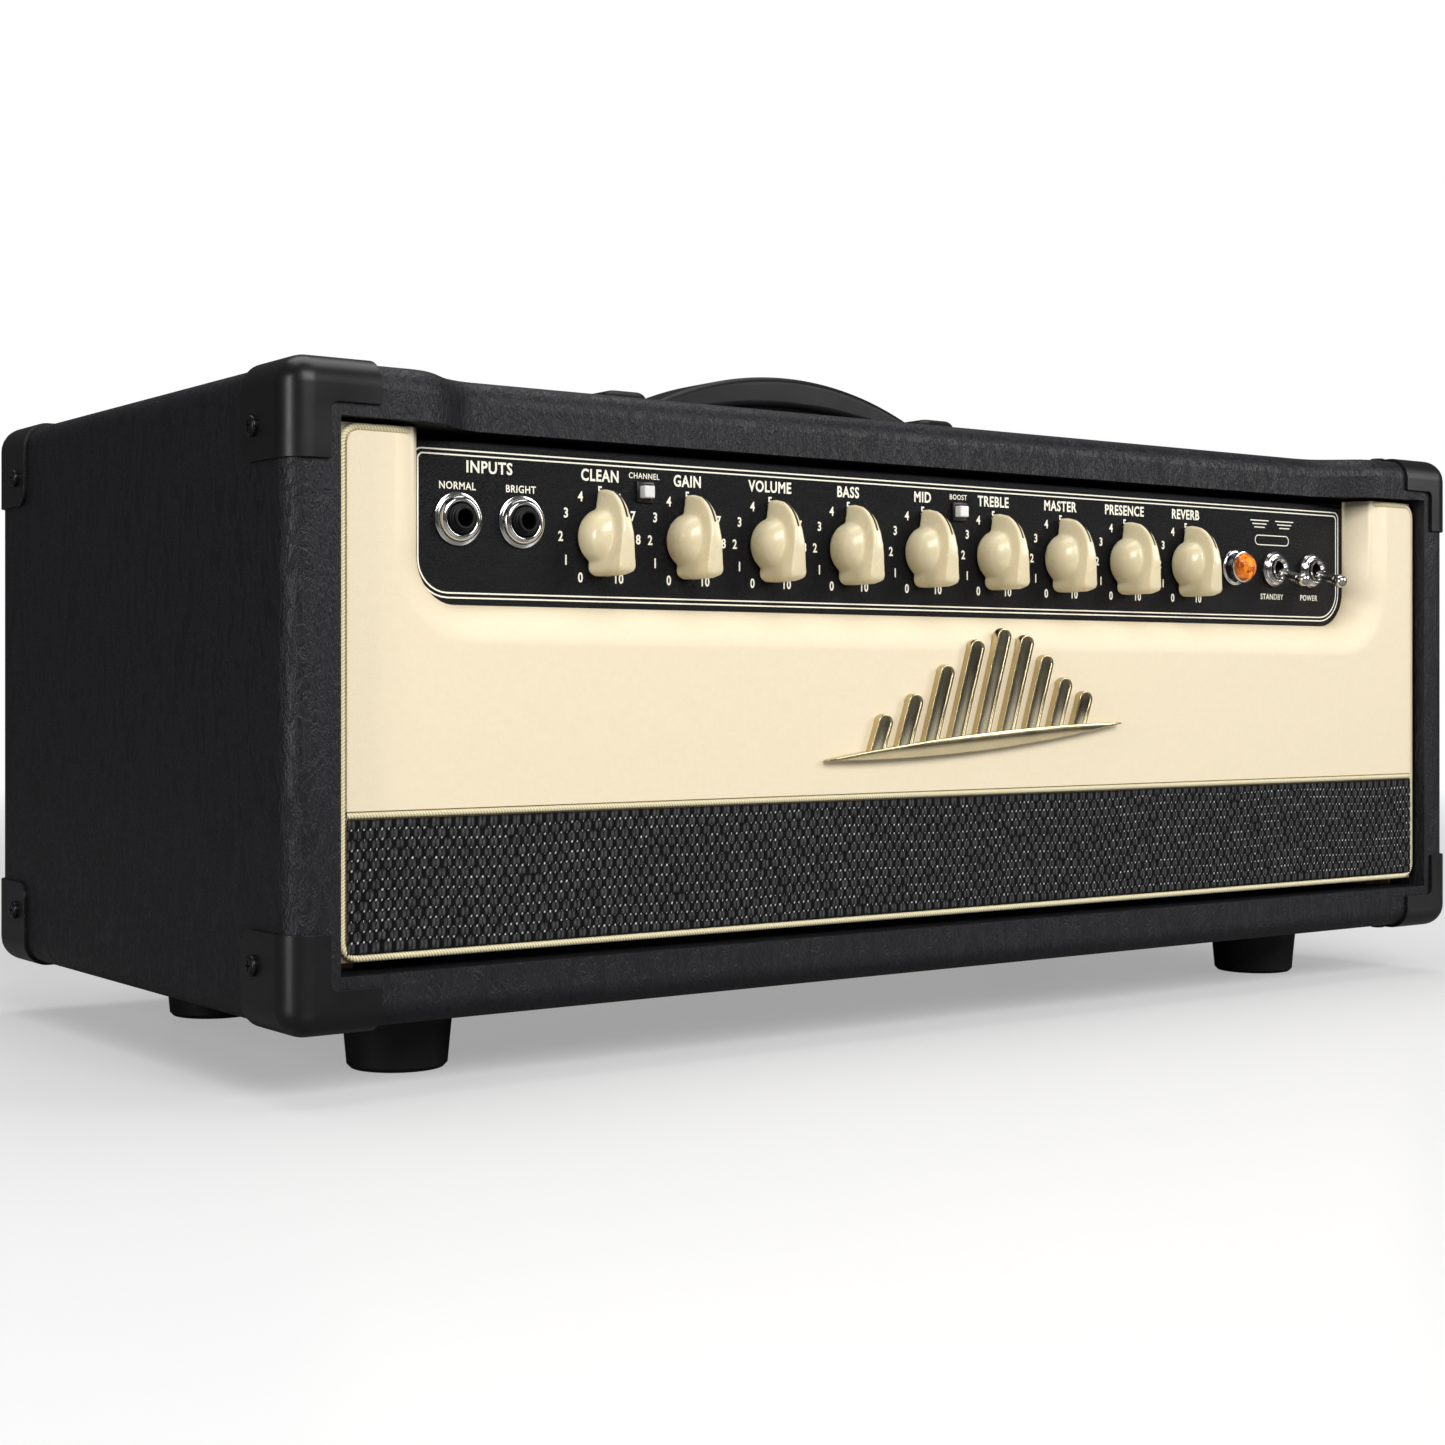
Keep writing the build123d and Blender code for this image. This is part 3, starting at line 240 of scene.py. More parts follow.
def remap(tree, source, output, fromLow, fromHigh, toLow, toHigh):
    node = addNode(tree, "ShaderNodeMapRange")
    limits = (("From Min", fromLow), ("From Max", fromHigh), ("To Min", toLow), ("To Max", toHigh))
    for socket, value in limits:
        node.inputs[socket].default_value = value
    link(tree, source, node, output, "Value")
    return node


def colourMix(tree, factor, output, dark, light):
    node = addNode(tree, "ShaderNodeMix", data_type="RGBA")
    node.inputs[6].default_value = (*dark, 1)
    node.inputs[7].default_value = (*light, 1)
    link(tree, factor, node, output, 0)
    return node


def calculate(tree, operation, first, firstOutput, second, secondOutput=0):
    node = addNode(tree, "ShaderNodeMath", operation=operation)
    link(tree, first, node, firstOutput, 0)
    if isinstance(second, (int, float)):
        node.inputs[1].default_value = second
    else:
        link(tree, second, node, secondOutput, 1)
    return node


def makeGrainGroup():
    # pebbles, pores and long creases of an embossed vinyl; Size is a pebble in metres
    group = bpy.data.node_groups.new("vinylGrain", "ShaderNodeTree")
    wanted = (("Vector", "NodeSocketVector"), ("Size", "NodeSocketFloat"), ("Crease", "NodeSocketFloat"))
    for name, kind in wanted:
        group.interface.new_socket(name=name, in_out="INPUT", socket_type=kind)
    for name in ("Height", "Tone"):
        group.interface.new_socket(name=name, in_out="OUTPUT", socket_type="NodeSocketFloat")
    start = addNode(group, "NodeGroupInput")
    end = addNode(group, "NodeGroupOutput")
    perSize = addNode(group, "ShaderNodeMath", operation="DIVIDE")
    perSize.inputs[0].default_value = 1.0
    link(group, start, perSize, "Size", 1)
    scaled = addNode(group, "ShaderNodeVectorMath", operation="SCALE")
    link(group, start, scaled, "Vector", 0)
    link(group, perSize, scaled, 0, "Scale")
    wander = addNode(group, "ShaderNodeTexNoise", Scale=0.55, Detail=3.0)
    link(group, scaled, wander, 0, "Vector")
    warped = addNode(group, "ShaderNodeVectorMath", operation="MULTIPLY_ADD")
    warped.inputs[1].default_value = (1.3, 1.3, 1.3)
    link(group, wander, warped, "Color", 0)
    link(group, scaled, warped, 0, 2)
    pebbles = addNode(group, "ShaderNodeTexVoronoi", feature="DISTANCE_TO_EDGE", Scale=1.0)
    link(group, warped, pebbles, 0, "Vector")
    pebbleHeight = remap(group, pebbles, "Distance", 0.0, 0.28, 0.0, 1.0)
    pores = addNode(group, "ShaderNodeTexNoise", Scale=3.2, Detail=4.0, Roughness=0.6)
    link(group, scaled, pores, 0, "Vector")
    creaseNoise = addNode(group, "ShaderNodeTexNoise", Scale=0.22, Detail=4.0, Roughness=0.6,
                          Distortion=1.4)
    link(group, scaled, creaseNoise, 0, "Vector")
    centred = calculate(group, "SUBTRACT", creaseNoise, "Fac", 0.5)
    folded = calculate(group, "ABSOLUTE", centred, 0, 0.0)
    creaseLine = remap(group, folded, 0, 0.0, 0.045, 1.0, 0.0)
    creaseDepth = calculate(group, "MULTIPLY", creaseLine, 0, start, "Crease")
    fine = calculate(group, "MULTIPLY", pores, "Fac", 0.5)
    pebble = calculate(group, "MULTIPLY", pebbleHeight, 0, 0.6)
    grain = calculate(group, "ADD", pebble, 0, fine)
    height = calculate(group, "SUBTRACT", grain, 0, creaseDepth)
    link(group, height, end, 0, "Height")
    link(group, creaseNoise, end, "Fac", "Tone")
    return group


def makeSmudgeGroup():
    # slow uneven patches and small specks, for gloss that isn't perfect
    group = bpy.data.node_groups.new("smudges", "ShaderNodeTree")
    group.interface.new_socket(name="Vector", in_out="INPUT", socket_type="NodeSocketVector")
    for name in ("Patches", "Specks"):
        group.interface.new_socket(name=name, in_out="OUTPUT", socket_type="NodeSocketFloat")
    start = addNode(group, "NodeGroupInput")
    end = addNode(group, "NodeGroupOutput")
    patches = addNode(group, "ShaderNodeTexNoise", Scale=38.0, Detail=4.0, Roughness=0.6)
    specks = addNode(group, "ShaderNodeTexNoise", Scale=2600.0, Detail=2.0)
    link(group, start, patches, "Vector", "Vector")
    link(group, start, specks, "Vector", "Vector")
    link(group, patches, end, "Fac", "Patches")
    link(group, specks, end, "Fac", "Specks")
    return group


grainGroup = makeGrainGroup()
smudgeGroup = makeSmudgeGroup()


def placeGroup(tree, group, place, **values):
    node = addNode(tree, "ShaderNodeGroup", node_tree=group)
    link(tree, place, node, 0, "Vector")
    for name, value in values.items():
        node.inputs[name].default_value = value
    return node


def vinyl(name, dark, light, size, crease, rough, strength, stretch=(1, 1, 1), **settings):
    material, tree, shader = newMaterial(name, **settings)
    grain = placeGroup(tree, grainGroup, objectPlace(tree, stretch), Size=size, Crease=crease)
    tone = remap(tree, grain, "Tone", 0.35, 0.65, 0.0, 1.0)
    link(tree, colourMix(tree, tone, 0, dark, light), shader, 2, "Base Color")
    link(tree, remap(tree, grain, "Height", 0.0, 1.4, rough + 0.12, rough - 0.06), shader, 0, "Roughness")
    bump(tree, shader, grain, "Height", strength, 0.0004)
    return material


def plain(name, colour, rough, metallic=0.0, spread=0.06, speckBump=0.0, tint=0.12, **settings):
    # one colour with slow patches in tone and gloss
    material, tree, shader = newMaterial(name, Metallic=metallic, **settings)
    smudge = placeGroup(tree, smudgeGroup, objectPlace(tree))
    darker = [channel * (1 - tint) for channel in colour]
    patches = remap(tree, smudge, "Patches", 0.35, 0.65, 0.0, 1.0)
    link(tree, colourMix(tree, patches, 0, darker, colour), shader, 2, "Base Color")
    gloss = remap(tree, smudge, "Patches", 0.3, 0.7, rough - spread, rough + spread)
    link(tree, gloss, shader, 0, "Roughness")
    if speckBump:
        bump(tree, shader, smudge, "Specks", speckBump, 0.0001)
    return material


def clothWeave(name, gap, rib, thread, cell):
    material, tree, shader = newMaterial(name, Specular_IOR_Level=0.1)
    place = objectPlace(tree, (1 / cell[0], 1, 1 / cell[1]))
    noise = addNode(tree, "ShaderNodeTexNoise", Scale=1.7, Detail=2.0)
    link(tree, place, noise, 0, "Vector")
    fibres = addNode(tree, "ShaderNodeTexNoise", Scale=9.0, Detail=3.0)
    link(tree, place, fibres, 0, "Vector")
    bundles = addNode(tree, "ShaderNodeAttribute", attribute_name="bundle")
    glints = addNode(tree, "ShaderNodeAttribute", attribute_name="glint")
    uneven = remap(tree, noise, "Fac", 0.36, 0.64, 0.5, 1.0)
    # the bundle value brings painted shade into the valleys between ribs and at the row edges, times a random
    # tone of the yarn
    ribToneAndShade = calculate(tree, "MULTIPLY", bundles, "Fac", uneven, 0)
    yarn = colourMix(tree, ribToneAndShade, 0, gap, rib)
    bright = remap(tree, glints, "Fac", 0.35, 0.9, 0.0, 1.0)
    colour = addNode(tree, "ShaderNodeMix", data_type="RGBA")
    link(tree, bright, colour, 0, 0)
    link(tree, yarn, colour, 2, 6)
    colour.inputs[7].default_value = (*thread, 1)
    link(tree, colour, shader, 2, "Base Color")
    link(tree, remap(tree, bright, 0, 0.0, 1.0, 0.85, 0.3), shader, 0, "Roughness")
    link(tree, remap(tree, bright, 0, 0.3, 1.0, 0.0, 0.6), shader, 0, "Metallic")
    bump(tree, shader, fibres, "Fac", 0.5, 0.0002)
    return material


def cordYarn(name, grooveShade, crest):
    # the lay of the strands comes from the mesh; its grooves get painted shade and its crests painted
    # highlight over the cord's pale gold
    material, tree, shader = newMaterial(name, Roughness=0.36, Sheen_Weight=0.2)
    lay = addNode(tree, "ShaderNodeAttribute", attribute_name="crest")
    smudge = placeGroup(tree, smudgeGroup, objectPlace(tree))
    uneven = remap(tree, smudge, "Specks", 0.3, 0.7, 0.75, 1.1)
    tone = calculate(tree, "MULTIPLY", lay, "Fac", uneven, 0)
    link(tree, colourMix(tree, tone, 0, grooveShade, crest), shader, 2, "Base Color")
    bump(tree, shader, smudge, "Specks", 0.25, 0.0001)
    return material


blackVinyl = vinyl("black vinyl", (0.0045, 0.0045, 0.006), (0.009, 0.009, 0.012), 0.0015, 1.7, 0.37, 0.34,
                   (1, 1, 0.4), Specular_IOR_Level=0.32)
creamVinyl = vinyl("cream vinyl", (0.83, 0.715, 0.51), (0.85, 0.735, 0.53), 0.0009, 0.3, 0.5, 0.12)
guardPlastic = plain("guard plastic", (0.006, 0.006, 0.007), 0.34, speckBump=0.08, Specular_IOR_Level=0.34)
handleRubber = plain("handle rubber", (0.006, 0.006, 0.007), 0.42, speckBump=0.1, Specular_IOR_Level=0.2)
footRubber = plain("foot rubber", (0.006, 0.006, 0.006), 0.62, speckBump=0.3, Specular_IOR_Level=0.25)
blackScrew = plain("black screw", (0.012, 0.012, 0.013), 0.28, metallic=0.6)
chrome = plain("chrome", (0.68, 0.67, 0.66), 0.1, metallic=1.0, spread=0.03, tint=0.05)
leverMetal = plain("lever metal", (0.55, 0.52, 0.49), 0.2, metallic=1.0, spread=0.03, tint=0.05)
zinc = plain("zinc plate", (0.52, 0.52, 0.50), 0.36, metallic=1.0)
panelCoat = vinyl("panel coat", (0.003, 0.003, 0.004), (0.005, 0.005, 0.006), 0.0010, 0.0, 0.34, 0.6,
                  Specular_IOR_Level=0.14)
creamPlastic = plain("cream plastic", (0.80, 0.70, 0.46), 0.27, tint=0.06, Subsurface_Weight=0.2,
                     Subsurface_Scale=0.005, Coat_Weight=0.25)
creamPrint = plain("cream print", (0.97, 0.93, 0.78), 0.5, tint=0.04)
blackPlastic = plain("black plastic", (0.006, 0.006, 0.007), 0.3, Specular_IOR_Level=0.4)
# darker than the black plastic: painted shade, so the jack barrels' bores read dark
jackPlasticShaded = plain("jack plastic", (0.003, 0.003, 0.003), 0.42, Specular_IOR_Level=0.22)
buttonPlastic = plain("button plastic", (0.80, 0.80, 0.78), 0.35)
badgeMetal = plain("badge metal", (0.60, 0.50, 0.30), 0.17, metallic=1.0, spread=0.04, tint=0.2)
badgeFace = plain("badge face", (0.17, 0.15, 0.10), 0.26, metallic=0.9, spread=0.05, tint=0.3)
# groove colour is a painted shade tone, crest colour a painted highlight tone on the cord's pale gold
goldCord = cordYarn("gold cord", (0.42, 0.34, 0.13), (1.0, 0.93, 0.66))
plywood = plain("plywood", (0.34, 0.22, 0.12), 0.6, tint=0.3)
steelSheet = plain("steel sheet", (0.50, 0.50, 0.50), 0.34, metallic=1.0)
blackSteel = plain("black steel", (0.015, 0.015, 0.017), 0.45, speckBump=0.4)
boardGreen = plain("board laminate", (0.03, 0.13, 0.05), 0.35)
sleeveBlue = plain("capacitor sleeve", (0.02, 0.04, 0.12), 0.3)
coreBlack = plain("transformer enamel", (0.014, 0.014, 0.014), 0.35)
ceramic = plain("socket ceramic", (0.72, 0.69, 0.62), 0.3)
tubeGlass = plain("tube glass", (0.85, 0.88, 0.88), 0.05, spread=0.03, tint=0.03, Transmission_Weight=0.85)


def jewelGlass(name, dark, light, size, glow):
    # light broken inside a moulded jewel, painted: the bright cells are painted sparkle and the emission is a
    # painted glow, with the lamp behind it off
    material, tree, shader = newMaterial(name, Roughness=0.06, Transmission_Weight=0.25)
    cells = addNode(tree, "ShaderNodeTexVoronoi", feature="F1", Scale=1 / size)
    link(tree, objectPlace(tree), cells, 0, "Vector")
    paintedSparkle = remap(tree, cells, "Color", 0.2, 0.85, 0.0, 1.0)
    colour = colourMix(tree, paintedSparkle, 0, dark, light)
    link(tree, colour, shader, 2, "Base Color")
    link(tree, colour, shader, 2, "Emission Color")
    link(tree, remap(tree, paintedSparkle, 0, 0.0, 1.0, 0.04, glow), shader, 0, "Emission Strength")
    edges = addNode(tree, "ShaderNodeTexVoronoi", feature="DISTANCE_TO_EDGE", Scale=1 / size)
    link(tree, objectPlace(tree), edges, 0, "Vector")
    bump(tree, shader, edges, "Distance", 0.5, 0.0004)
    return material


# the amber jewel's emission is a painted glow and its bright cells painted sparkle
amberGlass = jewelGlass("amber glass", (0.50, 0.07, 0.003), (1.0, 0.30, 0.012), 0.0022, 0.45)
grilleCloth = clothWeave("grille cloth", (0.001, 0.001, 0.001), (0.1, 0.1, 0.103), (0.9, 0.9, 0.92),
                         (0.0031, 0.0038))
print("materials made")

# ---- CAD nodes that keep their shape and get a better finish

paint(blackVinyl, "top_board", "bottom_board", "left_side", "right_side")
paint(panelCoat, "control_panel")
paint(plywood, "grille_board", "battens")
paint(zinc, "foot_screws", "chassis_bolts", "potentiometers", "pot_nuts")
paint(steelSheet, "chassis", "reverb_tank")
paint(blackPlastic, "rear_jacks", "push_switches", "power_inlet", "fuse_holders")
paint(boardGreen, "circuit_board")
paint(sleeveBlue, "filter_capacitors")
paint(coreBlack, "power_transformer", "output_transformer", "choke")
paint(tubeGlass, "power_tubes", "preamp_tubes")
paint(ceramic, "power_tube_sockets", "preamp_tube_sockets")
paint(blackSteel, "rear_panel")
paint(blackScrew, "rear_panel_screws")
paint(chrome, "toggle_switches")
paint(blackScrew, "handle_bolts")
paint(footRubber, "rubber_feet")

refine("front_panel", "cream_vinyl", creamVinyl, 0)
refine("front_corner_guards", "guard_plastic", guardPlastic, 0.0004, 2)
refine("rear_corner_guards", "guard_plastic", guardPlastic, 0.0004, 2)
refine("guard_screws", "black_screw", blackScrew, 0.00015, 1)
refine("handle_strap", "handle_rubber", handleRubber, 0)
refine("handle_end_caps", "handle_rubber", handleRubber, 0)
refine("rear_jack_nuts", "bright_chrome", chrome, 0.0002, 2)
for pushName in ("channel", "boost"):
    refine(pushName + "_button", "button_plastic", buttonPlastic, 0.0003, 2)
print("CAD nodes finished")

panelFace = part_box("control_panel")[0].y


# ---- push button frames: a low square frame round each light cap

frameLook = {"reach": 1.7, "wall": 1.35, "height": 1.2}
pushFrames = []
for pushName in ("channel", "boost"):
    low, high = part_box(pushName + "_button")
    bpy.ops.mesh.primitive_plane_add(size=1)
    pushFrame = bpy.context.active_object
    margin = 2 * frameLook["reach"] * mm
    pushFrame.scale = (high.x - low.x + margin, high.z - low.z + margin, 1)
    pushFrame.rotation_euler = (math.radians(90), 0, 0)
    pushFrame.location = ((low.x + high.x) / 2, panelFace, (low.z + high.z) / 2)
    settle(pushFrame)
    editSelected(pushFrame, lambda part: True)
    bpy.ops.mesh.inset(thickness=frameLook["wall"] * mm)
    bpy.ops.mesh.delete(type="FACE")
    objectMode()
    modify(pushFrame, "SOLIDIFY", thickness=frameLook["height"] * mm, offset=1)
    modify(pushFrame, "BEVEL", width=0.0003, segments=2)
    pushFrames.append(pushFrame)
buttonFrames = joined(pushFrames, "button_frames")
smooth(buttonFrames, 40)
tidyNormals(buttonFrames)
finishPiece(buttonFrames, "cabinet", "black_plastic", blackPlastic)
print("button frames done")


# ---- turned pieces: a half outline of (radius, height) spun round the front-facing axis

def turned(name, outline, place, steps=48):
    mesh = bpy.data.meshes.new(name)
    rim = [(radius * mm, 0, height * mm) for radius, height in outline]
    mesh.from_pydata(rim, [(i, i + 1) for i in range(len(rim) - 1)], [])
    piece = bpy.data.objects.new(name, mesh)
    bpy.context.scene.collection.objects.link(piece)
    editAll(piece, "VERT")
    bpy.ops.mesh.spin(steps=steps, angle=2 * math.pi, center=(0, 0, 0), axis=(0, 0, 1))
    objectMode()
    tidyNormals(piece)
    # the height runs forwards, out of the panel
    piece.rotation_euler = (math.radians(90), 0, 0)
    piece.location = place
    settle(piece)
    return piece


# ---- badge: polished rims round darker sunk faces, on a swept base

badgeLook = {"half": 88.0, "bars": 9, "width": 8.4, "lean": 14.0, "low": 16.0, "rise": 34.0, "spread": 1.55,
             "foot": -13.0, "slope": 7.0, "proud": 0.7, "thick": 3.6, "rim": 1.1, "sink": 0.7, "edge": 0.55,
             "lift": 20.0, "bow": 0.2, "sweepTop": 9.7, "topDrop": 3.0, "sweepLow": 17.3, "lowRise": 4.0,
             "sweepSteps": 20}
badgeLow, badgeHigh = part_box("front_badge")
badgeZ = badgeLow.z / mm + badgeLook["lift"]
badgeY = badgeHigh.y


def plate(name, outline, sunk=True):
    # an outline in the front's plane, given its thickness, a sunk face and soft edges
    mesh = bpy.data.meshes.new(name)
    mesh.from_pydata([(x * mm, badgeY, z * mm) for x, z in outline], [], [list(range(len(outline)))])
    piece = bpy.data.objects.new(name, mesh)
    bpy.context.scene.collection.objects.link(piece)
    piece.data.materials.append(badgeMetal)
    piece.data.materials.append(badgeFace)
    editSelected(piece, lambda part: True)
    bpy.ops.mesh.extrude_region_move(TRANSFORM_OT_translate={"value": (0, -badgeLook["thick"] * mm, 0)})
    objectMode()
    tidyNormals(piece)
    frontY = badgeY - badgeLook["thick"] * mm
    if sunk:
        editSelected(piece, lambda part: abs(part.center.y - frontY) < 0.00001)
        bpy.ops.mesh.inset(thickness=badgeLook["rim"] * mm)
        bpy.context.active_object.active_material_index = 1
        bpy.ops.object.material_slot_assign()
        bpy.ops.mesh.extrude_region_move(TRANSFORM_OT_translate={"value": (0, badgeLook["sink"] * mm, 0)})
        objectMode()
    modify(piece, "BEVEL", width=badgeLook["edge"] * mm, segments=3, limit_method="ANGLE",
           angle_limit=math.radians(40))
    smooth(piece, 50)
    return piece


badgePlates = []
for bar in range(badgeLook["bars"]):
    share = (bar + 0.5) / badgeLook["bars"]
    tall = badgeLook["low"] + badgeLook["rise"] * math.sin(math.pi * share) ** 2
    barX = (share - 0.5) * badgeLook["spread"] * badgeLook["half"]
    along = barX / badgeLook["half"]
    foot = badgeZ + badgeLook["foot"] + badgeLook["slope"] * along + badgeLook["bow"] * along ** 2
    lean = badgeLook["lean"] * tall / (badgeLook["low"] + badgeLook["rise"])
    half = badgeLook["width"] / 2
    tip = []
    for turn in range(0, 181, 20):
        angle = math.radians(turn)
        tip.append((barX + lean + half * math.cos(angle), foot + tall - half + half * math.sin(angle)))
    badgePlates.append(plate("bar", [(barX - half, foot), (barX + half, foot)] + tip))
sweepUpper = []
sweepLower = []
for step in range(-badgeLook["sweepSteps"], badgeLook["sweepSteps"] + 1):
    along = step / badgeLook["sweepSteps"]
    x = along * badgeLook["half"]
    slant = badgeLook["slope"] * along
    sweepUpper.append((x, badgeZ - badgeLook["sweepTop"] + slant - badgeLook["topDrop"] * along ** 2))
    sweepLower.append((x, badgeZ - badgeLook["sweepLow"] + slant + badgeLook["lowRise"] * along ** 2))
sweep = plate("sweep", sweepUpper + sweepLower[::-1], False)
sweep.data.transform(Matrix.Translation((0, -badgeLook["proud"] * mm, 0)))
badgePlates.append(sweep)
badge = joined(badgePlates, "badge_polished")
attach(badge, "cabinet")
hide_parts("front_badge")
print("badge done")


# ---- input jacks: washer, domed nut and a stepped black barrel

jackLook = {"washer": [(6.6, 0.02), (10.0, 0.02), (10.4, 0.25), (10.3, 0.8), (9.9, 1.0), (6.6, 1.0)],
            "dome": [(5.95, 0.9), (9.0, 0.9), (9.15, 1.4), (9.1, 2.0), (8.8, 2.8), (8.3, 3.4), (7.7, 3.8),
                     (7.1, 3.95), (6.6, 3.8), (6.2, 3.4), (5.95, 2.8), (5.95, 0.9)],
            "barrel": [(3.25, -24.0), (3.25, 3.0), (3.25, 5.9), (3.35, 6.15), (3.6, 6.3), (4.2, 6.3),
                       (4.45, 6.15), (4.5, 5.9), (4.55, 4.9), (5.0, 4.75), (5.1, 4.3), (5.1, 4.0), (5.6, 3.9),
                       (5.75, 3.6), (5.75, 3.2), (5.5, 3.0), (5.75, 2.8), (5.75, -3.0), (5.0, -24.0),
                       (3.25, -24.0)],
            "inset": 10.0}
jackLow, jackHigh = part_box("input_jacks")
jackXs = [jackLow.x + jackLook["inset"] * mm, jackHigh.x - jackLook["inset"] * mm]
jackZ = (jackLow.z + jackHigh.z) / 2
jackRims = []
jackBarrels = []
for x in jackXs:
    place = (x, panelFace, jackZ)
    washer = turned("washer", jackLook["washer"], place)
    dome = turned("dome", jackLook["dome"], place)
    jackRims += [washer, dome]
    barrel = turned("barrel", jackLook["barrel"], place)
    jackBarrels.append(barrel)
jackRing = joined(jackRims, "input_jack_rings")
smooth(jackRing, 40)
finishPiece(jackRing, "cabinet", "bright_chrome", chrome, "input_jack_nuts")
jackBarrel = joined(jackBarrels, "input_jack_barrels")
smooth(jackBarrel, 40)
finishPiece(jackBarrel, "cabinet", "black_plastic", jackPlasticShaded, "input_jacks")
print("jacks done")


# ---- pilot lamp: chrome bezel on a dark neck, ringed amber jewel cut in facets

lampLook = {"bezel": [(6.3, 0.02), (8.9, 0.02), (9.1, 0.5), (8.9, 1.2), (8.2, 1.7), (7.2, 1.8), (6.3, 1.5),
                      (6.3, 0.02)],
            "ring": [(6.2, 4.8), (7.6, 4.8), (7.9, 5.2), (7.9, 6.2), (7.6, 6.7), (7.2, 6.8), (6.9, 6.4),
                     (6.2, 6.2), (6.2, 4.8)],
            "neck": [(0.1, -20.0), (6.2, -20.0), (6.2, 0.0), (6.25, 4.9), (6.2, 6.3), (0.1, 6.3)],
            "jewel": [(7.1, 6.2), (7.15, 6.9), (6.5, 8.6), (4.9, 10.2), (2.6, 11.1)], "facets": 12}
lampSpot = centre("lamp_jewel")
lampPlace = (lampSpot.x, panelFace, lampSpot.z)
bezel = turned("lamp_bezel", lampLook["bezel"], lampPlace)
lampRing = turned("lamp_ring", lampLook["ring"], lampPlace)
lampMetal = joined([bezel, lampRing], "lamp_rings")
smooth(lampMetal, 40)
finishPiece(lampMetal, "cabinet", "bright_chrome", chrome)
lampNeck = turned("lamp_neck", lampLook["neck"], lampPlace)
smooth(lampNeck, 40)
finishPiece(lampNeck, "cabinet", "black_plastic", blackPlastic, "lamp_holder")

jewelRings = lampLook["jewel"]
jewelSides = lampLook["facets"]
bpy.ops.mesh.primitive_circle_add(vertices=jewelSides, radius=jewelRings[0][0] * mm, fill_type="NGON",
                                  location=(0, 0, jewelRings[0][1] * mm))
jewel = bpy.context.active_object
jewel.name = "lamp_jewel_cut"
settle(jewel)
for (radius, height), (lastRadius, lastHeight) in zip(jewelRings[1:], jewelRings):
    # each ring of facets is turned half a facet from the last
    editSelected(jewel, lambda part: abs(part.center.z - lastHeight * mm) < 0.00001)
    bpy.ops.mesh.extrude_region_move(TRANSFORM_OT_translate={"value": (0, 0, (height - lastHeight) * mm)})
    ratio = radius / lastRadius
    bpy.ops.transform.resize(value=(ratio, ratio, 1), center_override=(0, 0, 0))
    bpy.ops.transform.rotate(value=math.pi / jewelSides, orient_axis="Z", center_override=(0, 0, 0))
    objectMode()
modify(jewel, "TRIANGULATE")
modify(jewel, "BEVEL", width=0.00012, segments=1, limit_method="ANGLE", angle_limit=math.radians(8))
jewel.rotation_euler = (math.radians(90), 0, 0)
jewel.location = lampPlace
settle(jewel)
tidyNormals(jewel)
finishPiece(jewel, "cabinet", "amber_jewel", amberGlass, "lamp_jewel")
print("lamp done")


# ---- toggle switches: knurled dress nut, bush, tapered lever with a ball end

toggleLook = {"teeth": 44, "toothDepth": 0.2, "toothFrom": 8.7, "droop": 16.0, "pivotDepth": 1.0,
              "nut": [(5.9, 0.02), (8.6, 0.02), (8.8, 0.3), (8.8, 1.9), (8.5, 2.2), (8.0, 2.2), (7.8, 2.5),
                      (7.8, 3.0), (7.3, 3.5), (6.7, 3.6), (6.3, 3.3), (5.9, 3.2), (5.9, 0.02)],
              "bush": [(4.6, 1.0), (5.85, 1.0), (5.85, 5.4), (5.6, 5.8), (5.0, 6.0), (4.5, 5.8), (3.8, 4.9),
                       (3.8, -2.0), (4.6, -2.0), (4.6, 1.0)],
              "lever": [(0.02, 0.5), (1.7, 0.5), (1.85, 6.2), (2.25, 8.5), (2.45, 17.6), (2.6, 18.4),
                        (3.0, 19.4), (3.3, 20.9), (3.2, 22.3), (2.7, 23.6), (1.7, 24.4), (0.02, 24.7)]}
toggleMetal = []
for switchName in ("standby", "power"):
    leverSpot = centre(switchName + "_lever")
    place = (leverSpot.x, panelFace, lampSpot.z)
    dress = turned("dress", toggleLook["nut"], place, toggleLook["teeth"] * 2)
    for vertex in dress.data.vertices:
        out = Vector((vertex.co.x - place[0], 0, vertex.co.z - place[2]))
        turnStep = round(math.atan2(out.z, out.x) / math.pi * toggleLook["teeth"])
        if out.length > toggleLook["toothFrom"] * mm and turnStep % 2:
            vertex.co -= out.normalized() * toggleLook["toothDepth"] * mm
    bush = turned("bush", toggleLook["bush"], place)
    toggleMetal += [dress, bush]
toggleNuts = joined(toggleMetal, "toggle_dress_nuts")
smooth(toggleNuts, 28)
finishPiece(toggleNuts, "cabinet", "bright_chrome", chrome, "toggle_nuts")
for switchName in ("standby", "power"):
    lever = turned("lever", toggleLook["lever"], (0, 0, 0), 32)
    lever.rotation_euler = (math.radians(toggleLook["droop"]), 0, 0)
    pivotY = panelFace + toggleLook["pivotDepth"] * mm
    lever.location = (centre(switchName + "_lever").x, pivotY, lampSpot.z)
    settle(lever)
    lever.name = switchName + "_lever_turned"
    smooth(lever, 50)
    finishPiece(lever, bodyOf(switchName + "_lever"), "bright_chrome", leverMetal, switchName + "_lever")
print("toggles done")


# ---- knobs: a domed hub moulded into a tall pointer

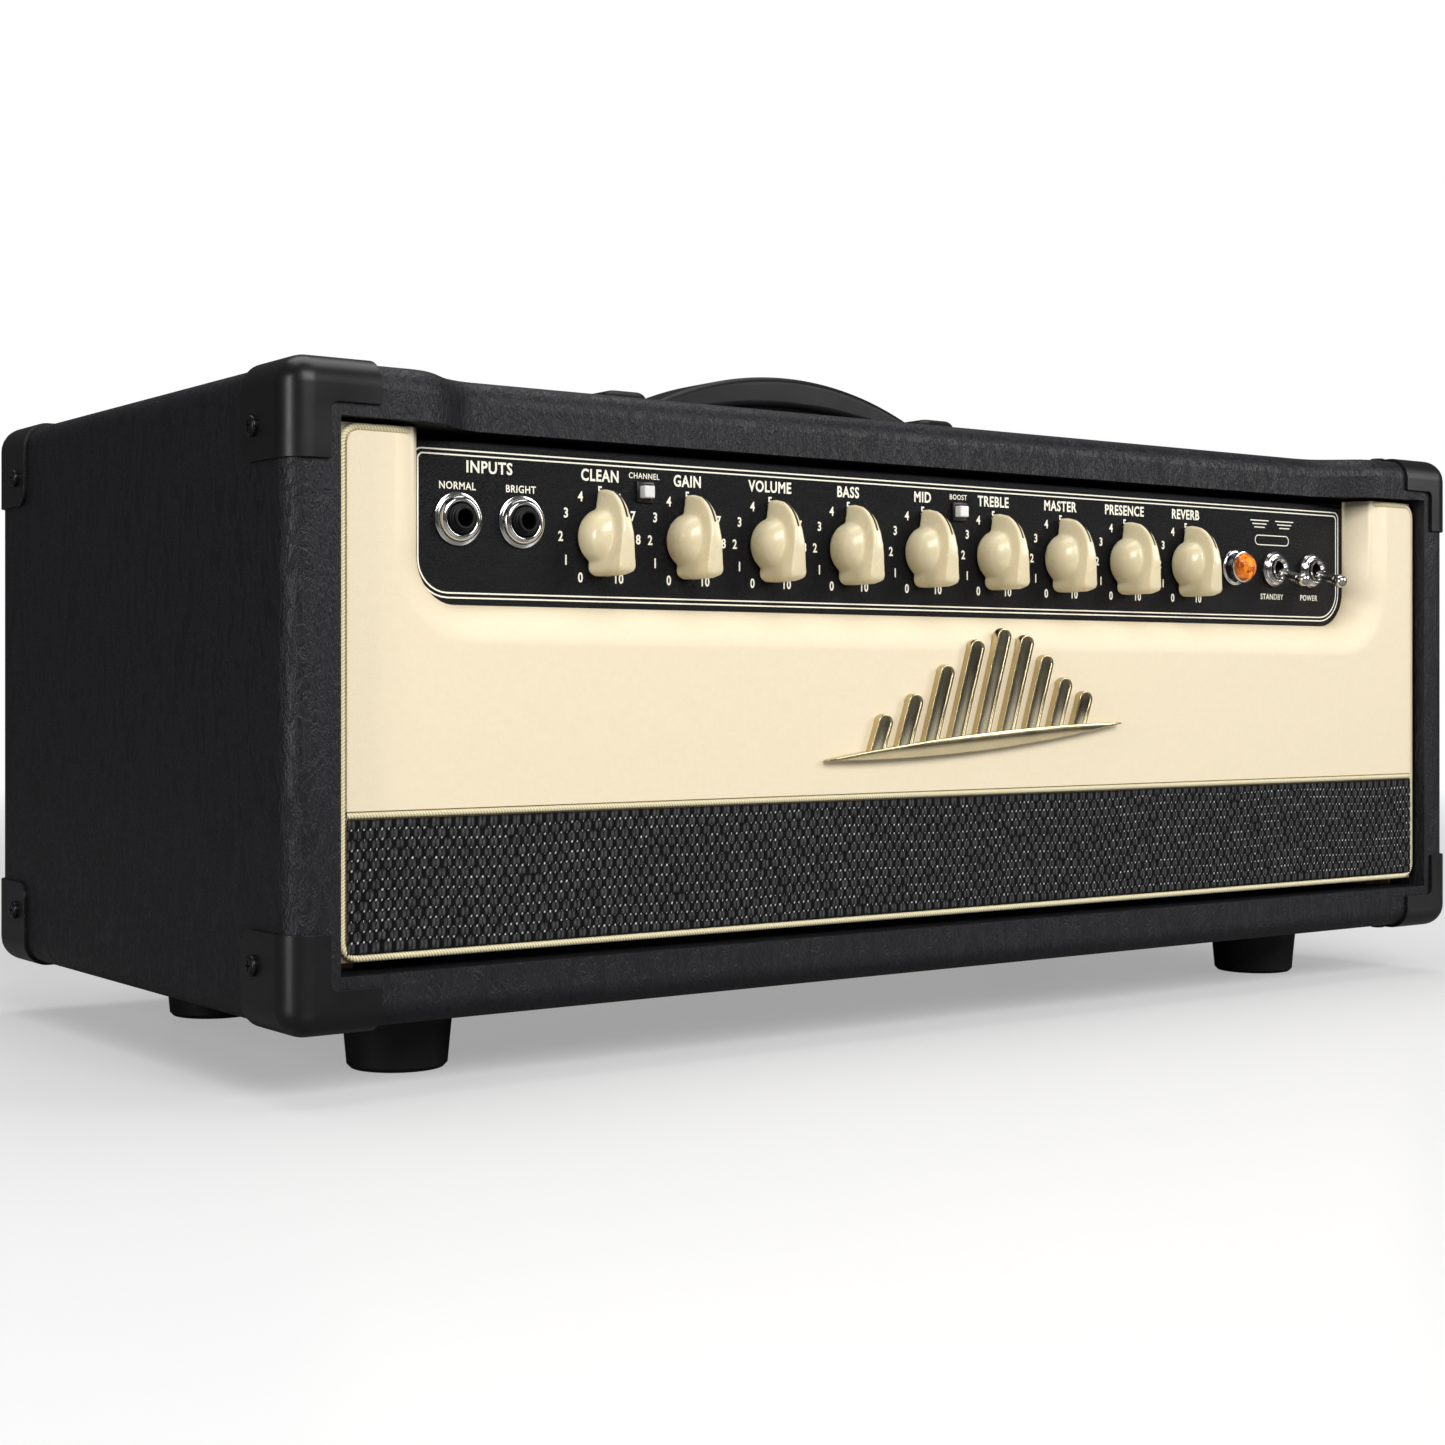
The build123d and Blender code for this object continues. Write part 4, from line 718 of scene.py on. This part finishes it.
knobLook = {"hub": [(0.02, 0.0), (11.3, 0.0), (11.6, 0.4), (11.5, 3.0), (11.2, 5.6), (10.4, 8.2), (9.0, 10.4),
                    (7.0, 12.1), (4.4, 13.0), (0.02, 13.3)],
            "tip": 19.0, "tail": -15.6, "height": 20.0, "tipHeight": 4.0, "tailRound": 3.6, "stations": 24,
            "layers": 10, "voxel": 0.42, "keep": 0.28, "gap": 0.8, "lineWidth": 0.8, "lineFrom": 7.0,
            "lineLength": 10.4, "lineRows": 9, "lineDepth": 0.45, "dropFrom": -3.0, "footTip": 1.6,
            "footSwell": 5.4, "ridgeTip": 1.3, "ridgeSwell": 2.9, "leastHalf": 0.6}
knobNames = [name for name in frame["bodies"] if name.endswith("_control")]
knobAxisZ = lampSpot.z
print("knob bodies", knobNames)


def crestHeight(along):
    # height of the pointer's ridge over the knob's back, from tail to tip
    drop = 0.0
    if along > knobLook["dropFrom"]:
        share = (along - knobLook["dropFrom"]) / (knobLook["tip"] - knobLook["dropFrom"])
        drop = (knobLook["height"] - knobLook["tipHeight"]) * (1 - math.sqrt(max(0.0, 1 - share ** 2.3)))
    return knobLook["height"] - drop - 0.04 * max(0.0, -along)


def pointerHalf(along, rise):
    # half width: hollow towards the tip, widest at the tail, and rounded over the ridge
    share = (along - knobLook["tail"]) / (knobLook["tip"] - knobLook["tail"])
    foot = knobLook["footTip"] + knobLook["footSwell"] * (1 - share) ** 0.9
    ridge = knobLook["ridgeTip"] + knobLook["ridgeSwell"] * (1 - share) ** 1.2
    half = foot + (ridge - foot) * rise ** 0.75
    fromTail = along - knobLook["tail"]
    inset = knobLook["tailRound"] - fromTail
    if inset > 0:
        half -= knobLook["tailRound"] * (1 - math.sqrt(max(0.0, 1 - (inset / knobLook["tailRound"]) ** 2)))
    return max(half, knobLook["leastHalf"])


def makeKnob():
    hub = turned("hub", knobLook["hub"], (0, 0, 0))
    bpy.ops.mesh.primitive_cube_add(size=1)
    pointer = bpy.context.active_object
    pointer.name = "pointer"
    stations = knobLook["stations"]
    layers = knobLook["layers"]
    pointer.scale = (2.0, layers, stations)
    settle(pointer)
    for axis, count in ((2, stations), (1, layers)):
        for cut in range(1, count):
            editAll(pointer)
            spot = [0, 0, 0]
            spot[axis] = cut - count / 2
            normal = [0, 0, 0]
            normal[axis] = 1
            bpy.ops.mesh.bisect(plane_co=spot, plane_no=normal)
            objectMode()
    for vertex in pointer.data.vertices:
        along = knobLook["tail"] + (vertex.co.z / stations + 0.5) * (knobLook["tip"] - knobLook["tail"])
        rise = 0.5 - vertex.co.y / layers
        half = pointerHalf(along, rise)
        inset = max(0.0, knobLook["tailRound"] - (along - knobLook["tail"])) / knobLook["tailRound"]
        roundOff = 1 - math.sqrt(1 - min(inset, 1.0) ** 2)
        height = crestHeight(along) - knobLook["tailRound"] * 0.8 * roundOff
        vertex.co = Vector((vertex.co.x * half, -rise * height, along)) * mm
    knob = joined([hub, pointer], "knob_body")
    modify(knob, "REMESH", mode="VOXEL", voxel_size=knobLook["voxel"] * mm, use_smooth_shade=True)
    modify(knob, "SMOOTH", factor=0.6, iterations=26)
    modify(knob, "DECIMATE", ratio=knobLook["keep"])
    return knob


def makeKnobLine():
    # thin black strip let into the ridge near the tip
    bpy.ops.mesh.primitive_grid_add(x_subdivisions=1, y_subdivisions=knobLook["lineRows"], size=1)
    strip = bpy.context.active_object
    strip.name = "line"
    for vertex in strip.data.vertices:
        along = knobLook["lineFrom"] + (vertex.co.y + 0.5) * knobLook["lineLength"]
        depth = -crestHeight(along) + knobLook["lineDepth"]
        vertex.co = Vector((vertex.co.x * knobLook["lineWidth"], depth, along)) * mm
    modify(strip, "SOLIDIFY", thickness=0.001, offset=0)
    tidyNormals(strip)
    return strip


patternKnob = makeKnob()
patternLine = makeKnobLine()
for bodyName in knobNames:
    nodeName = bodyName.replace("_control", "_knob")
    low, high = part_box(nodeName)
    move = ((low.x + high.x) / 2, panelFace - knobLook["gap"] * mm, knobAxisZ)
    knob = duplicate(patternKnob, nodeName + "_moulded", move)
    smooth(knob, 60)
    finishPiece(knob, bodyName, "cream_plastic", creamPlastic, nodeName)
    line = duplicate(patternLine, nodeName + "_line", move)
    finishPiece(line, bodyName, "black_plastic", blackPlastic)
for pattern in (patternKnob, patternLine):
    bpy.data.objects.remove(pattern)
print("knobs done")


# ---- printed outline, dials and labels on the control panel

printLook = {"outer": (-274.0, 272.0, 184.0, 241.0), "line": 0.6, "gap": 1.8, "topRound": 3.5,
             "lowRound": 15.0, "thickness": 0.05, "dial": 18.6, "digit": 3.9, "nameZ": 234.6, "name": 4.7,
             "dialStart": -150, "dialStep": 30}
printed = []


def roundedLoop(left, right, low, high, lowRound, topRound):
    points = []
    corners = ((right - topRound, high - topRound, topRound, 0),
               (left + topRound, high - topRound, topRound, 90),
               (left + lowRound, low + lowRound, lowRound, 180),
               (right - lowRound, low + lowRound, lowRound, 270))
    for x, z, radius, first in corners:
        for step in range(9):
            angle = math.radians(first + step * 90 / 8)
            points.append((x + radius * math.cos(angle), z + radius * math.sin(angle)))
    return points


def printedRing(inset):
    left, right, low, high = printLook["outer"]
    bands = []
    for extra in (inset, inset + printLook["line"]):
        bands.append(roundedLoop(left + extra, right - extra, low + extra, high - extra,
                                 printLook["lowRound"] - extra, printLook["topRound"] - extra * 0.6))
    count = len(bands[0])
    spots = [(x * mm, panelFace, z * mm) for band in bands for x, z in band]
    faces = [(i, (i + 1) % count, count + (i + 1) % count, count + i) for i in range(count)]
    mesh = bpy.data.meshes.new("ring")
    mesh.from_pydata(spots, [], faces)
    ring = bpy.data.objects.new("ring", mesh)
    bpy.context.scene.collection.objects.link(ring)
    modify(ring, "SOLIDIFY", thickness=printLook["thickness"] * 2 * mm, offset=0)
    tidyNormals(ring)
    return ring


def label(words, x, z, size, weight=0.035, width=1.0):
    bpy.ops.object.text_add(location=(0, 0, 0))
    text = bpy.context.active_object
    text.data.body = words
    text.data.align_x = "CENTER"
    text.data.align_y = "CENTER"
    text.data.size = size * mm / 0.72
    text.data.offset = weight * size * mm
    text.data.space_character = 1.1
    text.data.extrude = printLook["thickness"] * mm
    text.data.resolution_u = 3
    onlySelect(text)
    bpy.ops.object.convert(target="MESH")
    text = bpy.context.active_object
    # the line's middle comes onto its spot
    xs = [vertex.co.x for vertex in text.data.vertices]
    ys = [vertex.co.y for vertex in text.data.vertices]
    text.data.transform(Matrix.Translation((-(min(xs) + max(xs)) / 2, -(min(ys) + max(ys)) / 2, 0)))
    text.scale = (width, 1, 1)
    text.rotation_euler = (math.radians(90), 0, 0)
    text.location = (x * mm, panelFace, z * mm)
    settle(text)
    return text


printed += [printedRing(0.0), printedRing(printLook["gap"])]
dialMarks = []
for number in range(11):
    angle = math.radians(printLook["dialStart"] + printLook["dialStep"] * number)
    across = printLook["dial"] * math.sin(angle)
    up = printLook["dial"] * math.cos(angle)
    dialMarks.append(label(str(number), across, up, printLook["digit"], width=0.86))
dialPattern = joined(dialMarks, "dial")
for bodyName in knobNames:
    controlName = bodyName.replace("_control", "")
    low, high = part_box(controlName + "_knob")
    knobX = (low.x + high.x) / 2
    printed.append(duplicate(dialPattern, "dial_copy", (knobX, 0, knobAxisZ)))
    printed.append(label(controlName.upper(), knobX / mm, printLook["nameZ"], printLook["name"], width=0.84))
bpy.data.objects.remove(dialPattern)
smallLabels = (("INPUTS", (jackXs[0] + jackXs[1]) / 2 / mm, 234.8, 4.6, 0.035),
               ("NORMAL", jackXs[0] / mm, 227.2, 2.9, 0.02), ("BRIGHT", jackXs[1] / mm, 227.2, 2.9, 0.02),
               ("CHANNEL", centre("channel_button").x / mm, 235.6, 2.4, 0.01),
               ("BOOST", centre("boost_button").x / mm, 235.6, 2.4, 0.01),
               ("STANDBY", centre("standby_lever").x / mm, 195.9, 2.9, 0.015),
               ("POWER", centre("power_lever").x / mm, 195.9, 2.9, 0.015))
for words, x, z, size, weight in smallLabels:
    printed.append(label(words, x, z, size, weight=weight, width=0.92))


def printedBar(x, z, length, height):
    bpy.ops.mesh.primitive_cube_add(size=1, location=(x * mm, panelFace, z * mm))
    bar = bpy.context.active_object
    bar.scale = (length * mm, printLook["thickness"] * 2 * mm, height * mm)
    settle(bar)
    modify(bar, "BEVEL", width=0.0001, segments=1)
    return bar


# plain ornament over the switches: shortening bars either side above an empty lozenge
ornamentLook = {"bars": 3, "apart": 9.5, "topZ": 234.2, "drop": 1.7, "length": 14.0, "shorter": 3.0,
                "height": 0.55, "lozengeZ": 224.4, "halfWide": 13.0, "halfTall": 2.6, "corner": 2.5,
                "line": 0.45}
ornamentX = centre("standby_lever").x / mm
for side in (-1, 1):
    barX = ornamentX + side * ornamentLook["apart"]
    for step in range(ornamentLook["bars"]):
        barZ = ornamentLook["topZ"] - step * ornamentLook["drop"]
        length = ornamentLook["length"] - step * ornamentLook["shorter"]
        printed.append(printedBar(barX, barZ, length, ornamentLook["height"]))
lozenge = []
for extra in (0.0, ornamentLook["line"]):
    wide = ornamentLook["halfWide"] - extra
    tall = ornamentLook["halfTall"] - extra
    corner = ornamentLook["corner"] - extra
    loop = roundedLoop(-wide, wide, -tall, tall, corner, corner)
    lozenge += [((ornamentX + x) * mm, panelFace, (ornamentLook["lozengeZ"] + z) * mm) for x, z in loop]
half = len(lozenge) // 2
lozengeMesh = bpy.data.meshes.new("lozenge")
lozengeFaces = [(i, (i + 1) % half, half + (i + 1) % half, half + i) for i in range(half)]
lozengeMesh.from_pydata(lozenge, [], lozengeFaces)
lozengePiece = bpy.data.objects.new("lozenge", lozengeMesh)
bpy.context.scene.collection.objects.link(lozengePiece)
modify(lozengePiece, "SOLIDIFY", thickness=printLook["thickness"] * 2 * mm, offset=0)
printed.append(lozengePiece)
printing = joined(printed, "panel_printing")
tidyNormals(printing, 0.000001)
finishPiece(printing, "cabinet", "cream_plastic", creamPrint)
print("printing done")


# ---- twisted cord piping round the recess and along the cloth's upper edge

pipeLook = {"radius": 1.5, "strands": 3, "pitch": 3.9, "slices": 12, "sides": 12, "depth": 0.28,
            "round": 6.5, "rollX": 291.0, "rollRadius": 14.5}


def arcPoints(middle, radius, first, last, steps, flat):
    points = []
    for step in range(steps + 1):
        angle = math.radians(first + (last - first) * step / steps)
        points.append(flat(middle, radius * math.cos(angle), radius * math.sin(angle)))
    return points


def pathCurve(name, points):
    curve = bpy.data.curves.new(name, "CURVE")
    curve.dimensions = "3D"
    curve.twist_mode = "MINIMUM"
    spline = curve.splines.new("POLY")
    spline.points.add(len(points) - 1)
    for point, spot in zip(spline.points, points):
        point.co = (*[value * mm for value in spot], 1)
    path = bpy.data.objects.new(name, curve)
    bpy.context.scene.collection.objects.link(path)
    return path


def twistedCord(name, path):
    # one full turn of the strands, repeated and bent along the path
    pitch = pipeLook["pitch"] * mm
    bpy.ops.mesh.primitive_cylinder_add(vertices=pipeLook["sides"], radius=pipeLook["radius"] * mm,
                                        depth=pitch, end_fill_type="NOTHING",
                                        rotation=(0, math.radians(90), 0), location=(pitch / 2, 0, 0))
    cord = bpy.context.active_object
    cord.name = name
    settle(cord)
    for cut in range(1, pipeLook["slices"]):
        editAll(cord)
        bpy.ops.mesh.bisect(plane_co=(pitch * cut / pipeLook["slices"], 0, 0), plane_no=(1, 0, 0))
        objectMode()
    # 1 on a strand's crest, 0 down in a groove: this carries the cord's painted shade and painted highlight
    crest = cord.data.attributes.new("crest", "FLOAT", "POINT")
    for index, vertex in enumerate(cord.data.vertices):
        angle = math.atan2(vertex.co.z, vertex.co.y)
        lay = pipeLook["strands"] * (angle - 2 * math.pi * vertex.co.x / pitch)
        low = (0.5 - 0.5 * math.cos(lay)) ** 1.5
        crest.data[index].value = 1 - low
        shrink = 1 - pipeLook["depth"] * low
        vertex.co.y *= shrink
        vertex.co.z *= shrink
    modify(cord, "ARRAY", fit_type="FIT_CURVE", curve=path, use_merge_vertices=True, merge_threshold=0.00002)
    modify(cord, "CURVE", object=path, deform_axis="POS_X")
    bpy.data.objects.remove(path)
    tidyNormals(cord, 0.000002)
    smooth(cord, 70)
    finishPiece(cord, "cabinet", "gold_piping", goldCord, name.replace("_cord", ""))


def inFront(middle, a, b):
    return (middle[0] + a, pipeY, middle[1] + b)


pipeLow, pipeHigh = [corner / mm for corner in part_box("outer_piping")]
pipeRadius = pipeLook["radius"]
pipeY = pipeLow.y + pipeRadius
pipeX = pipeHigh.x - pipeRadius
pipeTop = pipeHigh.z - pipeRadius
pipeFoot = pipeLow.z + pipeRadius
bend = pipeLook["round"]
rollMiddle = (pipeLook["rollX"], pipeY + pipeLook["rollRadius"])
rightHalf = arcPoints(rollMiddle, pipeLook["rollRadius"], 180, 270, 8,
                      lambda middle, a, b: (middle[0] + a, middle[1] + b, pipeTop))
rightHalf += arcPoints((pipeX - bend, pipeTop - bend), bend, 90, 0, 6, inFront)
rightHalf += [(pipeX, pipeY, pipeTop - bend - step * 20) for step in range(1, 9)]
rightHalf += arcPoints((pipeX - bend, pipeFoot + bend), bend, 0, -90, 6, inFront)
leftHalf = [(-x, y, z) for x, y, z in reversed(rightHalf)]
footRun = [(x, pipeY, pipeFoot) for x in range(280, -281, -40)]
twistedCord("outer_piping_cord", pathCurve("outer_path", rightHalf + footRun + leftHalf))
dividerLow, dividerHigh = [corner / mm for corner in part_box("divider_piping")]
dividerSpot = centre("divider_piping") / mm
dividerSpan = dividerHigh.x - dividerLow.x
dividerRun = [(dividerLow.x + dividerSpan * step / 20, dividerSpot.y, dividerSpot.z) for step in range(21)]
twistedCord("divider_piping_cord", pathCurve("divider_path", dividerRun))
print("piping done")


# ---- woven grille cloth: rows of ribbed bundles with bright threads between

clothLook = {"pitch": 5.0, "cellZ": 3.8, "stepsX": 12, "stepsZ": 4, "bundleSteps": 8, "ribs": 2,
             "bundle": 0.34, "rib": 0.12, "glint": 0.10, "glintRise": 0.08, "glintChance": 0.78,
             "glintLow": 0.45, "glintHigh": 0.95, "wander": 0.9, "jitter": 0.10, "lift": 0.2}
clothLow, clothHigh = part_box("grille_cloth")
clothWide = clothHigh.x - clothLow.x
clothTall = clothHigh.z - clothLow.z
columns = round(clothWide / mm / clothLook["pitch"])
rows = round(clothTall / mm / clothLook["cellZ"])
bpy.ops.mesh.primitive_grid_add(x_subdivisions=columns * clothLook["stepsX"],
                                y_subdivisions=rows * clothLook["stepsZ"], size=1)
cloth = bpy.context.active_object
cloth.name = "grille_cloth_woven"
glint = cloth.data.attributes.new("glint", "FLOAT", "POINT")
bundle = cloth.data.attributes.new("bundle", "FLOAT", "POINT")
clothFace = clothLow.y + clothLook["lift"] * mm
for index, vertex in enumerate(cloth.data.vertices):
    up = (vertex.co.y + 0.5) * rows
    row = min(int(up + 1e-6), rows - 1)
    v = min(max(up - row, 0), 1)
    # every other row is moved by half a pitch
    across = (vertex.co.x + 0.5) * columns + 0.5 * (row % 2)
    step = round((across % 1) * clothLook["stepsX"]) % clothLook["stepsX"]
    if 0 < step < clothLook["bundleSteps"]:
        crown = math.sin(math.pi * v) ** 0.3
        ridge = abs(math.sin(math.pi * clothLook["ribs"] * step / clothLook["bundleSteps"]))
        height = clothLook["bundle"] * crown * (0.35 + 0.65 * ridge)
        # the bundle value follows the bundle's height: painted shade in the valleys between ribs and at the
        # row edges, times a random yarn tone
        bundle.data[index].value = crown * (0.12 + 0.88 * ridge) * random.uniform(0.7, 1.0)
    else:
        height = clothLook["rib"] * abs(math.sin(math.pi * 3 * v)) * 0.8
        bundle.data[index].value = 0.04
    mark = 0.0
    betweenRows = min(v, 1 - v) < 0.02 and 0 < up < rows
    if betweenRows and step % 6 in (4, 5) and random.random() < clothLook["glintChance"]:
        mark = random.uniform(clothLook["glintLow"], clothLook["glintHigh"])
        height = clothLook["glint"] + clothLook["glintRise"] * mark
    glint.data[index].value = mark
    fade = min(1.0, up, rows - up)
    drift = vertex.co.x * 200 + 100
    sway = clothLook["wander"] * fade * (math.sin(drift * 0.19 + 0.6 * math.sin(drift * 0.05)) * 0.5
                                         + math.sin(drift * 0.071 + up * 0.2 + 1.0) * 0.5)
    jitter = clothLook["jitter"] * fade * random.uniform(-1, 1)
    x = clothLow.x + (vertex.co.x + 0.5) * clothWide
    z = clothLow.z + (vertex.co.y + 0.5) * clothTall + (sway + jitter) * mm
    vertex.co = Vector((x, clothFace - height * mm, z))
tidyNormals(cloth, 0.000001)
smooth(cloth, 80)
finishPiece(cloth, "cabinet", "grille_fabric", grilleCloth, "grille_cloth")
print("cloth done")


# ---- floor, light and camera

studio = {"floorSize": 60.0, "keyPower": 56.0, "sidePower": 27.0, "topPower": 27.0, "edgePower": 14.0,
          "skyPower": 0.08, "bounce": 0.22, "nearGlow": 0.35, "brightFrom": 0.9, "brightTo": 2.4}
bpy.ops.mesh.primitive_plane_add(size=studio["floorSize"], location=(0, 0, 0))
floor = bpy.context.active_object
floor.name = "studio_floor"
floorPaint, floorTree, floorShader = newMaterial("studio floor", Roughness=0.3)
floorSmudge = placeGroup(floorTree, smudgeGroup, objectPlace(floorTree))
floorSeen = addNode(floorTree, "ShaderNodeLightPath")
# the floor throws back less light than it shows, as under a flagged lamp
floorTone = addNode(floorTree, "ShaderNodeMix", data_type="RGBA")
link(floorTree, floorSeen, floorTone, "Is Camera Ray", 0)
floorTone.inputs[6].default_value = (*[studio["bounce"]] * 3, 1)
floorPatches = colourMix(floorTree, floorSmudge, "Patches", (0.90, 0.90, 0.90), (0.92, 0.92, 0.92))
link(floorTree, floorPatches, floorTone, 2, 7)
link(floorTree, floorTone, floorShader, 2, "Base Color")
# away from the object the floor fades into the white of the backdrop
floorPlace = addNode(floorTree, "ShaderNodeTexCoord")
floorReach = addNode(floorTree, "ShaderNodeVectorMath", operation="LENGTH")
link(floorTree, floorPlace, floorReach, "Object", 0)
floorFade = remap(floorTree, floorReach, "Value", studio["brightFrom"], studio["brightTo"],
                  studio["nearGlow"], 1.0)
floorGlow = calculate(floorTree, "MULTIPLY", floorFade, 0, floorSeen, "Is Camera Ray")
floorWhite = addNode(floorTree, "ShaderNodeEmission", Strength=1.0)
floorBlend = addNode(floorTree, "ShaderNodeMixShader")
link(floorTree, floorGlow, floorBlend, 0, 0)
link(floorTree, floorShader, floorBlend, 0, 1)
link(floorTree, floorWhite, floorBlend, 0, 2)
link(floorTree, floorBlend, floorTree.nodes["Material Output"], 0, "Surface")
floor.data.materials.append(floorPaint)


def softbox(name, place, target, width, height, power):
    bpy.ops.object.light_add(type="AREA", location=place)
    lamp = bpy.context.active_object
    lamp.name = name
    lamp.data.shape = "RECTANGLE"
    lamp.data.size = width
    lamp.data.size_y = height
    lamp.data.energy = power
    lamp.rotation_euler = (Vector(target) - Vector(place)).to_track_quat("-Z", "Y").to_euler()


middle = (0, 0, 0.15)
softbox("key_light", (-0.5, -2.3, 1.5), middle, 1.8, 1.2, studio["keyPower"])
softbox("side_light", (1.9, -1.9, 1.1), middle, 1.0, 1.2, studio["sidePower"])
softbox("top_light", (0.1, 0.25, 2.1), middle, 2.2, 1.5, studio["topPower"])
softbox("edge_light", (-1.9, -0.5, 0.35), (-0.33, -0.15, 0.15), 0.3, 1.2, studio["edgePower"])

sky = bpy.data.worlds.new("studio sky")
sky.use_nodes = True
bpy.context.scene.world = sky
skyShader = sky.node_tree.nodes["Background"]
skyShader.inputs["Color"].default_value = (1, 1, 1, 1)
seen = addNode(sky.node_tree, "ShaderNodeLightPath")
skyStrength = remap(sky.node_tree, seen, "Is Camera Ray", 0.0, 1.0, studio["skyPower"], 1.0)
link(sky.node_tree, skyStrength, skyShader, 0, "Strength")
bpy.context.scene.view_settings.view_transform = "Standard"

lens = {"place": (-0.68468, -0.87531, 0.15033), "yaw": -36.03, "length": 55.73, "shiftX": 0.0204,
        "shiftY": -0.0248}
bpy.ops.object.camera_add(location=lens["place"], rotation=(math.radians(90), 0, math.radians(lens["yaw"])))
camera = bpy.context.active_object
camera.data.lens = lens["length"]
camera.data.sensor_width = 36.0
camera.data.shift_x = lens["shiftX"]
camera.data.shift_y = lens["shiftY"]
bpy.context.scene.camera = camera
print("studio ready")
